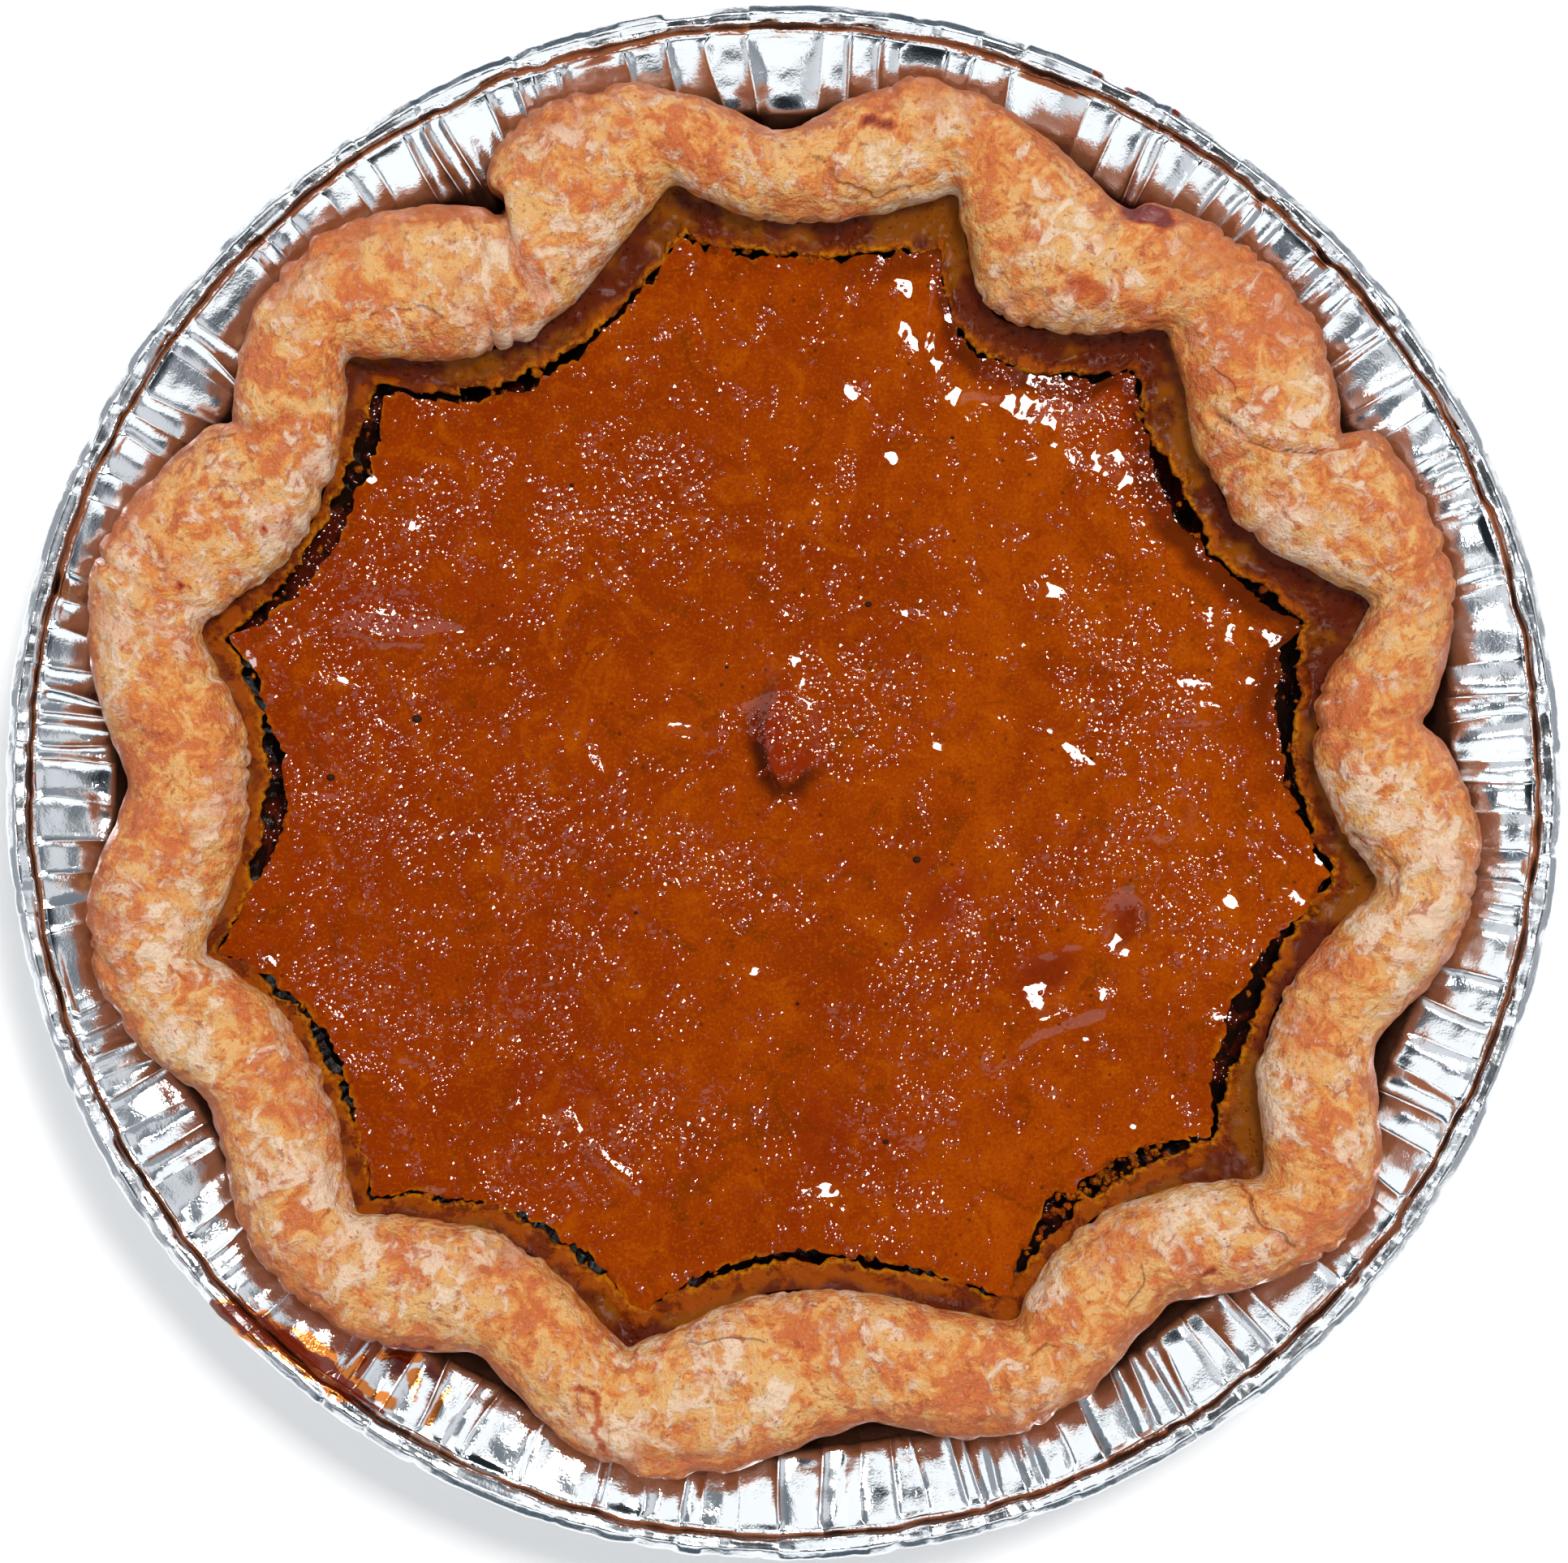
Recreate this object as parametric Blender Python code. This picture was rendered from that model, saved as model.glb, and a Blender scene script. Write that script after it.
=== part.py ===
"""Pumpkin pie with a rolled, crimped crust, baked in its own foil tin.

Metres, +Z up. The origin is the middle of the tin's flat underside.
Every solid is skinned through closed rings of points that run once round the pie.
"""
import bpy
import numpy as np

MM = 0.001

# Foil tin
TIN_RADIUS = 115.0
BASE_RADIUS = 86.9
RIM_HEIGHT = 28.5
FOIL_THICKNESS = 0.7
WALL_FOOT = (88.6, 1.9)
WALL_KNEE = (98.5, 17.5)
WALL_TOP = (110.0, 24.4)
PLEAT_DEPTH_FOOT = 0.35
PLEAT_DEPTH = 0.55
PLEATS = 54
# The rolled bead, from under its outside over the top to its inside: steps (mm) from the
# tin's outermost radius and from its rim height
BEAD_STEPS = ((-3.1, -4.4), (-0.7, -3.5), (0.0, -1.7), (-1.5, 0.0), (-2.8, -0.8), (-4.1, -3.4))

# Pastry
FLOOR_THICKNESS = 3.75
ROPE_LEVEL = 26.0
ROPE_CROWN = 7.5
ROPE_UNDERCUT = 2.2
ROPE_UNDERSIDE_INSET = 3.0
ROPE_OUTER_DROP = 5.5
ROPE_INNER_DROP = 5.0
ROPE_OVERHANG = 4.2
FOOT_HEIGHT = 3.0
FOOT_INSET = 0.7
CONTACT_HEIGHT = 9.0
KNEE_HEIGHT = 16.5
KNEE_GAP = 1.2

# The hollow in the pastry: a flat floor, a bevelled corner, then a wall whose radius
# follows the rope's inner edge a little
CAVITY_FLOOR_RADIUS = 80.5
CAVITY_CORNER_RADIUS = 85.0
CAVITY_CORNER_RISE = 1.2
CAVITY_WALL_RADIUS = 70.0
CAVITY_WALL_FOLLOW = 0.22

# Filling
FILLING_LEVEL = 23.0
FILLING_DISH = 0.7
CRACK_DEPTH = 7.0
CRACK_UNDERCUT = 0.3
TORN_RISE = 0.2
TORN_LIP = 1.2

CLEARANCE = 0.35
WALL_CLEARANCE = 0.4
FLARE_CLEARANCE = 0.7

# The hand-crimped rope, anticlockwise from +X: one row for each dip, where the rope bends
# in towards the filling, and one for each crest, where it bends out towards the rim.
# A row gives the rope's outer edge (degrees, mm), its inner edge (degrees, mm), the radius
# where the filling stops at that inner angle, the width of the crack outside the filling,
# and how full the rope's outer edge is on its way to the next row: 1 follows a sine,
# more runs straighter, and less bulges out and drops steeply into a fold.
ROPE_ROWS = (
    (5.2, 96.1, 5.0, 78.4, 73.3, 3.0, 1.2),
    (20.0, 104.4, 17.0, 90.4, 79.8, 1.4, 0.32),
    (31.9, 96.8, 32.0, 76.6, 70.2, 2.6, 0.76),
    (48.5, 105.2, 49.5, 87.2, 78.2, 2.6, 0.8),
    (60.0, 98.8, 65.0, 74.8, 68.8, 1.6, 1.5),
    (77.5, 106.8, 73.8, 90.0, 81.4, 1.2, 1.8),
    (90.5, 97.4, 89.0, 81.9, 77.5, 0.9, 1.4),
    (105.5, 106.4, 100.4, 89.4, 81.4, 1.0, 0.3),
    (116.6, 95.0, 121.0, 75.6, 69.5, 2.0, 1.0),
    (132.5, 106.7, 135.8, 89.4, 82.4, 2.0, 1.0),
    (146.4, 97.6, 151.6, 78.8, 75.1, 3.3, 1.0),
    (163.0, 107.1, 165.4, 88.8, 84.2, 1.4, 1.5),
    (180.5, 97.2, 180.2, 78.5, 74.2, 2.4, 1.5),
    (194.0, 106.3, 196.6, 89.0, 87.0, 0.8, 1.0),
    (208.6, 97.0, 209.2, 80.4, 77.5, 2.2, 1.4),
    (226.0, 105.2, 225.2, 89.3, 86.3, 0.8, 1.0),
    (241.8, 96.0, 240.4, 78.5, 74.2, 2.1, 1.4),
    (257.5, 105.2, 254.6, 86.8, 81.4, 0.8, 1.6),
    (277.5, 95.6, 271.0, 74.4, 69.4, 2.0, 1.4),
    (291.5, 102.5, 293.2, 86.4, 83.0, 1.0, 1.4),
    (306.5, 96.0, 305.6, 78.4, 73.6, 3.2, 1.3),
    (322.5, 107.6, 320.6, 91.6, 82.0, 1.0, 1.5),
    (335.8, 96.0, 334.8, 79.3, 74.5, 3.0, 1.5),
    (351.5, 103.9, 350.2, 88.6, 82.0, 0.8, 1.0),
)
DIPS = 0
CRESTS = 1
INNER_FULLNESS = 1.0
FILLING_FULLNESS = 0.8
COLUMNS_PER_FLANK = 5


def polar(degrees, radius):
    """Plan points from angles in degrees and radii."""
    angle = np.radians(degrees)
    return np.stack([radius * np.cos(angle), radius * np.sin(angle)], axis=-1)


def swell(corner, bulge, shares, fullness):
    """Values that leave a corner and round off into a bulge."""
    return corner + (bulge - corner) * np.sin(np.pi / 2.0 * shares) ** fullness


def flanks(values, corners):
    """Each row to the next as (corner value, bulge value, whether the corner comes first)."""
    pairs = []
    for row, value in enumerate(values):
        following = values[(row + 1) % len(values)]
        corner_first = row % 2 == corners
        pair = (value, following) if corner_first else (following, value)
        pairs.append((*pair, corner_first))
    return pairs


def even_shares(corner, bulge, fullness):
    """Shares that cut a flank, given as two (degrees, radius) ends, into equal lengths."""
    shares = np.linspace(0.0, 1.0, 201) ** 2
    degrees = corner[0] + (bulge[0] - corner[0]) * shares
    plan = polar(degrees, swell(corner[1], bulge[1], shares, fullness))
    lengths = np.linalg.norm(np.diff(plan, axis=0), axis=1)
    travelled = np.concatenate([[0.0], np.cumsum(lengths)])
    return np.interp(np.linspace(0.0, travelled[-1], COLUMNS_PER_FLANK + 1), travelled, shares)


def column_shares(degrees, radii, fullnesses, corners):
    """For every column of a wavy outline, its share of its flank, counted from the corner."""
    runs = []
    sides = flanks(list(zip(degrees, radii)), corners)
    for fullness, (corner, bulge, corner_first) in zip(fullnesses, sides):
        step = (bulge[0] - corner[0] + 180.0) % 360.0 - 180.0
        shares = even_shares(corner, (corner[0] + step, bulge[1]), fullness)
        runs.append(shares[:-1] if corner_first else shares[:0:-1])
    return runs


def column_degrees(degrees, runs, corners):
    """The angle of every column, swept evenly from corner to bulge."""
    swept = []
    for shares, (corner, bulge, _) in zip(runs, flanks(degrees, corners)):
        step = (bulge - corner + 180.0) % 360.0 - 180.0
        swept.append(corner + step * shares)
    return np.concatenate(swept)


def column_values(values, runs, fullnesses, corners):
    """A value given for each row, carried along the columns."""
    carried = []
    for shares, fullness, (corner, bulge, _) in zip(runs, fullnesses, flanks(values, corners)):
        carried.append(swell(corner, bulge, shares, fullness))
    return np.concatenate(carried)


def ring(plan, height):
    """A ring of points at one height, or at a height for each point."""
    return np.column_stack([plan, np.broadcast_to(height, len(plan))])


def circle(directions, radius, height):
    """A ring that follows given plan directions at a radius of its own."""
    return ring(directions * np.reshape(radius, (-1, 1)), height)


def outward(plan, distance):
    """Move plan points straight away from the middle of the pie."""
    length = np.linalg.norm(plan, axis=1, keepdims=True)
    return plan * (length + np.reshape(distance, (-1, 1))) / length


def level_between(lower, upper, height):
    """The ring where the band between two rings passes a height."""
    share = (height - lower[:, 2:]) / (upper[:, 2:] - lower[:, 2:])
    return lower + (upper - lower) * share


def skin(name, rings, material, looped=False):
    """A closed solid through a run of rings: capped at both ends, or looped end to end.

    Every band is split the same way, from its upper ring's column to the next column of
    its lower ring, so two solids that share a wall keep the same gap all along it.
    """
    count = len(rings[0])
    faces = []
    bands = len(rings) if looped else len(rings) - 1
    for band in range(bands):
        here = rings[band]
        there = rings[(band + 1) % len(rings)]
        rising = there[:, 2].mean() >= here[:, 2].mean()
        first = band * count
        second = ((band + 1) % len(rings)) * count
        for column in range(count):
            following = (column + 1) % count
            if rising:
                faces.append((first + column, first + following, second + column))
                faces.append((first + following, second + following, second + column))
            else:
                faces.append((first + column, first + following, second + following))
                faces.append((first + column, second + following, second + column))
    if not looped:
        last = (len(rings) - 1) * count
        faces.append(tuple(reversed(range(count))))
        faces.append(tuple(range(last, last + count)))
    mesh = bpy.data.meshes.new(name)
    mesh.from_pydata([tuple(point) for point in np.concatenate(rings) * MM], [], faces)
    mesh.materials.append(material)
    mesh.validate()
    mesh.shade_smooth()
    mesh.set_sharp_from_angle(angle=np.radians(40.0))
    solid = bpy.data.objects.new(name, mesh)
    bpy.context.scene.collection.objects.link(solid)
    return solid


def surface(name, colour, roughness, metallic=0.0, coat=0.0):
    """A Principled material."""
    material = bpy.data.materials.new(name)
    material.use_nodes = True
    shader = material.node_tree.nodes["Principled BSDF"]
    shader.inputs["Base Color"].default_value = (*colour, 1.0)
    shader.inputs["Roughness"].default_value = roughness
    shader.inputs["Metallic"].default_value = metallic
    shader.inputs["Coat Weight"].default_value = coat
    return material


def foil_beneath(low, high):
    """Step from the tin's inside to its underside, square to the wall between two points."""
    run = np.array(high) - np.array(low)
    run = run / np.linalg.norm(run)
    return np.array([run[1], -run[0]]) * FOIL_THICKNESS


def foil_tin(material):
    """The pleated tin: up its outside, over the rolled bead and down its inside."""
    count = PLEATS * 2
    degrees = np.arange(count) * 360.0 / count
    directions = polar(degrees, np.ones(count))
    fold = np.where(np.arange(count) % 2 == 0, 1.0, -1.0)

    outer_foot, outer_knee, outer_top = (
        np.array(point) + beneath for point, beneath in zip((WALL_FOOT, WALL_KNEE, WALL_TOP), (
            foil_beneath(WALL_FOOT, WALL_KNEE),
            foil_beneath(WALL_FOOT, WALL_TOP),
            foil_beneath(WALL_KNEE, WALL_TOP),
        )))

    profile = (
        (BASE_RADIUS, 0.0, 0.0),
        (*outer_foot, PLEAT_DEPTH_FOOT),
        (*outer_knee, PLEAT_DEPTH),
        (*outer_top, PLEAT_DEPTH),
        *((TIN_RADIUS + out, RIM_HEIGHT + up, 0.0) for out, up in BEAD_STEPS),
        (*WALL_TOP, PLEAT_DEPTH),
        (*WALL_KNEE, PLEAT_DEPTH),
        (*WALL_FOOT, PLEAT_DEPTH_FOOT),
        (BASE_RADIUS, FOIL_THICKNESS, 0.0),
    )
    rings = [circle(directions, radius + depth * fold, height) for radius, height, depth in profile]
    return skin("foil_tin", rings, material)


def wall_radius(height):
    """Radius of the tin's lower wall at a height, at the inner crests of its pleats."""
    share = (height - WALL_FOOT[1]) / (WALL_KNEE[1] - WALL_FOOT[1])
    return WALL_FOOT[0] + share * (WALL_KNEE[0] - WALL_FOOT[0]) - PLEAT_DEPTH


def flare_height(radius):
    """Height of the tin's flared upper wall at a radius, at the crests of its pleats."""
    share = (radius + PLEAT_DEPTH - WALL_KNEE[0]) / (WALL_TOP[0] - WALL_KNEE[0])
    return WALL_KNEE[1] + share * (WALL_TOP[1] - WALL_KNEE[1])


(outer_degrees, outer_radii, inner_degrees, inner_radii,
 filling_radii, crack_widths, outer_fullness) = zip(*ROPE_ROWS)
inner_fullness = [INNER_FULLNESS] * len(ROPE_ROWS)
filling_fullness = [FILLING_FULLNESS] * len(ROPE_ROWS)

outer_runs = column_shares(outer_degrees, outer_radii, outer_fullness, DIPS)
inner_runs = column_shares(inner_degrees, inner_radii, inner_fullness, CRESTS)
outer_turn = column_degrees(outer_degrees, outer_runs, DIPS)
inner_turn = column_degrees(inner_degrees, inner_runs, CRESTS)
filling_reach = column_values(filling_radii, inner_runs, filling_fullness, CRESTS)
crack_reach = filling_reach + column_values(crack_widths, inner_runs, filling_fullness, CRESTS)

rope_outer = polar(outer_turn, column_values(outer_radii, outer_runs, outer_fullness, DIPS))
rope_inner = polar(inner_turn, column_values(inner_radii, inner_runs, inner_fullness, CRESTS))
filling_edge_plan = polar(inner_turn, filling_reach)
crack_plan = polar(inner_turn, crack_reach)

rope_middle = (rope_outer + rope_inner) / 2.0
rope_half = (rope_outer - rope_inner) / 2.0
outer_reach = np.linalg.norm(rope_outer, axis=1)
facing = rope_middle / np.linalg.norm(rope_middle, axis=1, keepdims=True)
inner_facing = rope_inner / np.linalg.norm(rope_inner, axis=1, keepdims=True)


def rope_arc(degrees):
    """A ring over the rope's rounded top: 0 is its outer edge and 180 its inner edge."""
    angle = np.radians(degrees)
    return ring(rope_middle + rope_half * np.cos(angle), ROPE_LEVEL + ROPE_CROWN * np.sin(angle))


rope_underside = outward(rope_outer, -ROPE_UNDERSIDE_INSET)
floor_under = FOIL_THICKNESS + CLEARANCE
floor_top = floor_under + FLOOR_THICKNESS
underside_level = np.maximum(ROPE_LEVEL - ROPE_OUTER_DROP,
                             flare_height(outer_reach - ROPE_UNDERSIDE_INSET) + FLARE_CLEARANCE)

inner_edge = rope_arc(180.0)
inner_under = ring(outward(rope_inner, ROPE_UNDERCUT), ROPE_LEVEL - ROPE_INNER_DROP)
shoulder = FILLING_LEVEL - CRACK_DEPTH
cavity_reach = CAVITY_WALL_RADIUS + CAVITY_WALL_FOLLOW * np.linalg.norm(rope_inner, axis=1)
inner_wall = circle(inner_facing, cavity_reach, shoulder)
inner_corner = circle(facing, CAVITY_CORNER_RADIUS, floor_top + CAVITY_CORNER_RISE)
inner_floor = circle(facing, CAVITY_FLOOR_RADIUS, floor_top)


def crust(material):
    """The pastry case: up against the tin, over the crimped rope and down to its floor."""
    knee_reach = np.minimum(wall_radius(KNEE_HEIGHT) - KNEE_GAP, outer_reach - ROPE_OVERHANG)
    return skin("crust", [
        circle(facing, BASE_RADIUS - FOOT_INSET, floor_under),
        circle(facing, wall_radius(FOOT_HEIGHT) - WALL_CLEARANCE, FOOT_HEIGHT),
        circle(facing, wall_radius(CONTACT_HEIGHT) - WALL_CLEARANCE, CONTACT_HEIGHT),
        circle(facing, knee_reach, KNEE_HEIGHT),
        ring(rope_underside, underside_level),
        rope_arc(0.0),
        rope_arc(45.0),
        rope_arc(90.0),
        rope_arc(135.0),
        inner_edge,
        inner_under,
        inner_wall,
        inner_corner,
        inner_floor,
    ], material)


def filling(material):
    """The set custard: a dished top, a broken side, and a body that fills the pastry."""
    return skin("filling", [
        circle(facing, CAVITY_FLOOR_RADIUS - CLEARANCE, floor_top + CLEARANCE),
        circle(facing, CAVITY_CORNER_RADIUS - CLEARANCE * 1.4, inner_corner[:, 2] + CLEARANCE),
        ring(outward(inner_wall[:, :2], -CLEARANCE), shoulder),
        ring(outward(filling_edge_plan, CRACK_UNDERCUT), shoulder + CRACK_UNDERCUT),
        ring(filling_edge_plan, FILLING_LEVEL),
        ring(filling_edge_plan * 0.9, FILLING_LEVEL - FILLING_DISH * 0.6),
        ring(filling_edge_plan * 0.5, FILLING_LEVEL - FILLING_DISH),
    ], material)


def filling_edge(material):
    """The strip of filling that tore off the custard and stayed on the pastry."""
    bottom = shoulder + CLEARANCE * 2.0
    lip = FILLING_LEVEL + TORN_LIP
    at_lip = level_between(inner_under, inner_edge, lip)
    at_bottom = level_between(inner_wall, inner_under, bottom)
    return skin("filling_edge", [
        ring(outward(crack_plan, CRACK_UNDERCUT), bottom),
        ring(outward(at_bottom[:, :2], -CLEARANCE), bottom),
        ring(outward(inner_under[:, :2], -CLEARANCE), inner_under[:, 2]),
        ring(outward(at_lip[:, :2], -CLEARANCE), lip),
        ring(crack_plan, FILLING_LEVEL + TORN_RISE),
    ], material, looped=True)


for old in list(bpy.data.objects):
    bpy.data.objects.remove(old, do_unlink=True)

foil_tin(surface("foil", (0.80, 0.81, 0.82), 0.25, metallic=1.0))
crust(surface("baked_pastry", (0.62, 0.35, 0.15), 0.6))
filling(surface("pumpkin_custard", (0.36, 0.09, 0.005), 0.25, coat=0.5))
filling_edge(surface("torn_custard", (0.25, 0.07, 0.006), 0.4))
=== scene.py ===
"""Looks for the pumpkin pie in its foil tin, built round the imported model.

Lengths are in millimetres until a mesh is made. Angles are in degrees, anticlockwise from +X.
"""
import itertools
import math

import bpy
import numpy as np
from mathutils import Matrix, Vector


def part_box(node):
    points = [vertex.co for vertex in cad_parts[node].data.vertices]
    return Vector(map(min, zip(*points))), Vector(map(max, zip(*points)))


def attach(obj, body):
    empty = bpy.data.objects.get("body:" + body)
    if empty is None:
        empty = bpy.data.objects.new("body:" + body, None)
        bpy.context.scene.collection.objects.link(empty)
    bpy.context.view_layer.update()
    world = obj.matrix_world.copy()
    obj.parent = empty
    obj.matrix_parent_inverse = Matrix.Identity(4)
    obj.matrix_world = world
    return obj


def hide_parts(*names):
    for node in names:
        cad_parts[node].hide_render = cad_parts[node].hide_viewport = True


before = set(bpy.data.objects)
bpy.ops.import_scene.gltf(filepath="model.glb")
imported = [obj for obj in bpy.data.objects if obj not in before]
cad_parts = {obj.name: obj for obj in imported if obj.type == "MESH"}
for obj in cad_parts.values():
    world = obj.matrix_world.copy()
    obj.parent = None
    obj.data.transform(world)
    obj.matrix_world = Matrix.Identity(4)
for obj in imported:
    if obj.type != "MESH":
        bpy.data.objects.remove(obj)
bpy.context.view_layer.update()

MM = 0.001

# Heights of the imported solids, and places read off them (mm)
RIM_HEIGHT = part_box("foil_tin")[1].z / MM
ROPE_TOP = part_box("crust")[1].z / MM
FLOOR_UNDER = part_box("crust")[0].z / MM
FILLING_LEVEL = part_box("filling")[1].z / MM
FILLING_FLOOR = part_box("filling")[0].z / MM
LIP_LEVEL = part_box("filling_edge")[1].z / MM
ROPE_CROWN = 7.5
ROPE_LEVEL = ROPE_TOP - ROPE_CROWN
CRACK_LEVEL = FILLING_LEVEL + 0.2
CRACK_FLOOR = FILLING_LEVEL - 6.6

# A radius between the rope's inner and outer edges, and limits of the pie's outlines (mm)
SPLIT_RADIUS = 93.0
NEAREST = 60.0
FARTHEST = 120.0
FARTHEST_CRACK = 95.0

# Points round the rope, and round the finer outlines of the crack
COLUMNS = 960
FINE_COLUMNS = 2 * COLUMNS


# ---------------------------------------------------------------- shapes in numbers


def polar(degrees, radius):
    """Plan points from angles and radii."""
    angle = np.radians(degrees)
    return np.stack([radius * np.cos(angle), radius * np.sin(angle)], axis=-1)


def bearing(plan):
    """Angles of plan points, from 0 to 360."""
    return np.degrees(np.arctan2(plan[..., 1], plan[..., 0])) % 360.0


def reach(plan):
    """Distances of plan points from the middle of the pie."""
    return np.hypot(plan[..., 0], plan[..., 1])


def ease(value, low, high):
    """0 below low, 1 above high, and smooth between; high may be the smaller one."""
    share = np.clip((value - low) / (high - low), 0.0, 1.0)
    return share * share * (3.0 - 2.0 * share)


# Large primes that scatter cell numbers, and the bits kept of each product
CELL_PRIMES = (73856093, 19349663, 83492791)
MIXING = ((13, 1274126177), (15, 668265263))
SEED_FACTOR = 40503
SEED_START = 12345
LAYER_SHIFT = 37.7
KEPT_BITS = 0x7FFFFFFF


def lattice_value(cells, seed):
    """A repeatable value between -1 and 1 for each whole-number cell."""
    mixed = seed * SEED_FACTOR + SEED_START
    for axis, prime in enumerate(CELL_PRIMES):
        mixed = mixed ^ (cells[..., axis] * prime)
    mixed = mixed & KEPT_BITS
    for shift, prime in MIXING:
        mixed = ((mixed ^ (mixed >> shift)) * prime) & KEPT_BITS
    return ((mixed ^ (mixed >> 11)) & 0xFFFF) / 32767.5 - 1.0


def lumps(points, size, seed):
    """Smooth noise between -1 and 1 whose lumps have a size, for points of 3 coordinates."""
    scaled = points / size
    cells = np.floor(scaled).astype(np.int64)
    share = scaled - cells
    share = share ** 3 * (share * (share * 6.0 - 15.0) + 10.0)
    total = np.zeros(points.shape[:-1])
    for corner in itertools.product((0, 1), repeat=3):
        weight = np.prod(np.where(np.array(corner) == 1, share, 1.0 - share), axis=-1)
        total += weight * lattice_value(cells + np.array(corner), seed)
    return total


def layered_lumps(points, size, seed):
    """Lumps with two layers of finer and fainter lumps on them."""
    return sum(lumps(points + layer * LAYER_SHIFT, size / 2 ** layer, seed + layer) / 2 ** layer
               for layer in range(3))


def stacked(points, *layers):
    """Lumps added up, each layer given as its height, size and seed."""
    return sum(height * lumps(points, size, seed) for height, size, seed in layers)


def creases(points, size, seed):
    """0 over most of the surface, rising to 1 along a net of thin wandering lines."""
    return 1.0 - np.abs(lumps(points, size, seed))


def beside_runs(plan, path):
    """For each straight run of a path: distances of plan points from it, and across its line."""
    for start, end in zip(path[:-1], path[1:]):
        run = np.array(end) - np.array(start)
        offset = plan - np.array(start)
        along = np.clip((offset @ run) / (run @ run), 0.0, 1.0)
        gap = np.linalg.norm(offset - along[..., None] * run, axis=-1)
        turned = offset[..., 1] * run[0] - offset[..., 0] * run[1]
        yield gap, turned / np.linalg.norm(run)


def distance_to_path(plan, path):
    """Distance of plan points from a path of straight runs."""
    return np.min([gap for gap, _ in beside_runs(plan, path)], axis=0)


def seam_marks(plan, paths):
    """Signed distance across the nearest seam path, and how near its run a point is."""
    nearest = np.full(plan.shape[:-1], 1e9)
    across = np.zeros(plan.shape[:-1])
    for path in paths:
        for gap, side in beside_runs(plan, path):
            across = np.where(gap < nearest, side, across)
            nearest = np.minimum(gap, nearest)
    return across, ease(nearest - np.abs(across), 0.6, 0.0) * ease(nearest, 3.0, 1.8)


def outlined(plan, centre, radii, turn):
    """1 at the edge of a turned ellipse, less inside it and more outside it."""
    angle = math.radians(turn)
    offset = plan - np.array(centre)
    along = offset[..., 0] * math.cos(angle) + offset[..., 1] * math.sin(angle)
    across = offset[..., 1] * math.cos(angle) - offset[..., 0] * math.sin(angle)
    return np.hypot(along / radii[0], across / radii[1])


def node_corners(name):
    """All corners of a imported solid, each once."""
    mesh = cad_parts[name].data
    flat = np.empty(len(mesh.vertices) * 3)
    mesh.vertices.foreach_get("co", flat)
    return np.unique(np.round(flat.reshape(-1, 3) / MM, 3), axis=0)


def level_loop(name, height, nearest, farthest):
    """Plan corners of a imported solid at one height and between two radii, in order."""
    corners = node_corners(name)
    radius = reach(corners[:, :2])
    kept = np.abs(corners[:, 2] - height) < 0.02
    kept &= (radius > nearest) & (radius < farthest)
    plan = corners[kept][:, :2]
    return plan[np.argsort(bearing(plan))]


def curved(before, start, end, beyond, t):
    """Points a share t along smooth runs from start to end, given their outer neighbours."""
    return 0.5 * (2.0 * start + (end - before) * t
                  + (2.0 * before - 5.0 * start + 4.0 * end - beyond) * t * t
                  + (3.0 * start - before - 3.0 * end + beyond) * t ** 3)


def closed_curve(plan, count):
    """Smooth closed curve through ordered plan points, with evenly shared steps."""
    position = np.arange(count) * len(plan) / count
    here = np.floor(position).astype(int)
    ends = (plan[(here + step) % len(plan)] for step in (-1, 0, 1, 2))
    return curved(*ends, (position - here)[:, None])


def open_curve(points, positions):
    """Smooth curve through points, at positions counted in points from the first one."""
    padded = np.concatenate([[2 * points[0] - points[1]], points, [2 * points[-1] - points[-2]]])
    here = np.minimum(np.floor(positions).astype(int), len(points) - 2)
    ends = (padded[here + step] for step in range(4))
    return curved(*ends, (positions - here)[:, None])


def smoothed(values, width):
    """Closed run of values averaged over a bell of a width in columns."""
    steps = np.arange(-3 * width, 3 * width + 1)
    bell = np.exp(-0.5 * (steps / width) ** 2)
    bell = bell / bell.sum()
    total = np.zeros_like(values)
    for step, weight in zip(steps, bell):
        total += weight * np.roll(values, step, axis=0)
    return total


def grid_normals(rings):
    """Unit normals of a grid of rings, pointing out of a skin that rises on its outside."""
    along = np.roll(rings, -1, axis=1) - np.roll(rings, 1, axis=1)
    across = np.gradient(rings, axis=0)
    normal = np.cross(along, across)
    return normal / np.maximum(np.linalg.norm(normal, axis=-1, keepdims=True), 1e-9)


# ---------------------------------------------------------------- shader wrapper


class Value:
    """A shader socket. Arithmetic on it adds Math nodes."""

    def __init__(self, nodes, socket):
        self.nodes = nodes
        self.socket = socket

    def maths(self, operation, *values):
        """A Math node on some values or numbers."""
        sockets = dict(enumerate(values))
        return self.nodes.node("ShaderNodeMath", {"operation": operation}, sockets)

    def __add__(self, other):
        return self.maths("ADD", self, other)

    def __radd__(self, other):
        return self.maths("ADD", other, self)

    def __sub__(self, other):
        return self.maths("SUBTRACT", self, other)

    def __rsub__(self, other):
        return self.maths("SUBTRACT", other, self)

    def __mul__(self, other):
        return self.maths("MULTIPLY", self, other)

    def __rmul__(self, other):
        return self.maths("MULTIPLY", other, self)

    def size(self):
        """The value without its sign."""
        return self.maths("ABSOLUTE", self)

    def between(self, low, high):
        """0 below low, 1 above high, and smooth between; low may be the larger one."""
        return self.nodes.node("ShaderNodeMapRange", {"interpolation_type": "SMOOTHSTEP"},
                               {"Value": self, "From Min": low, "From Max": high})


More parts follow.
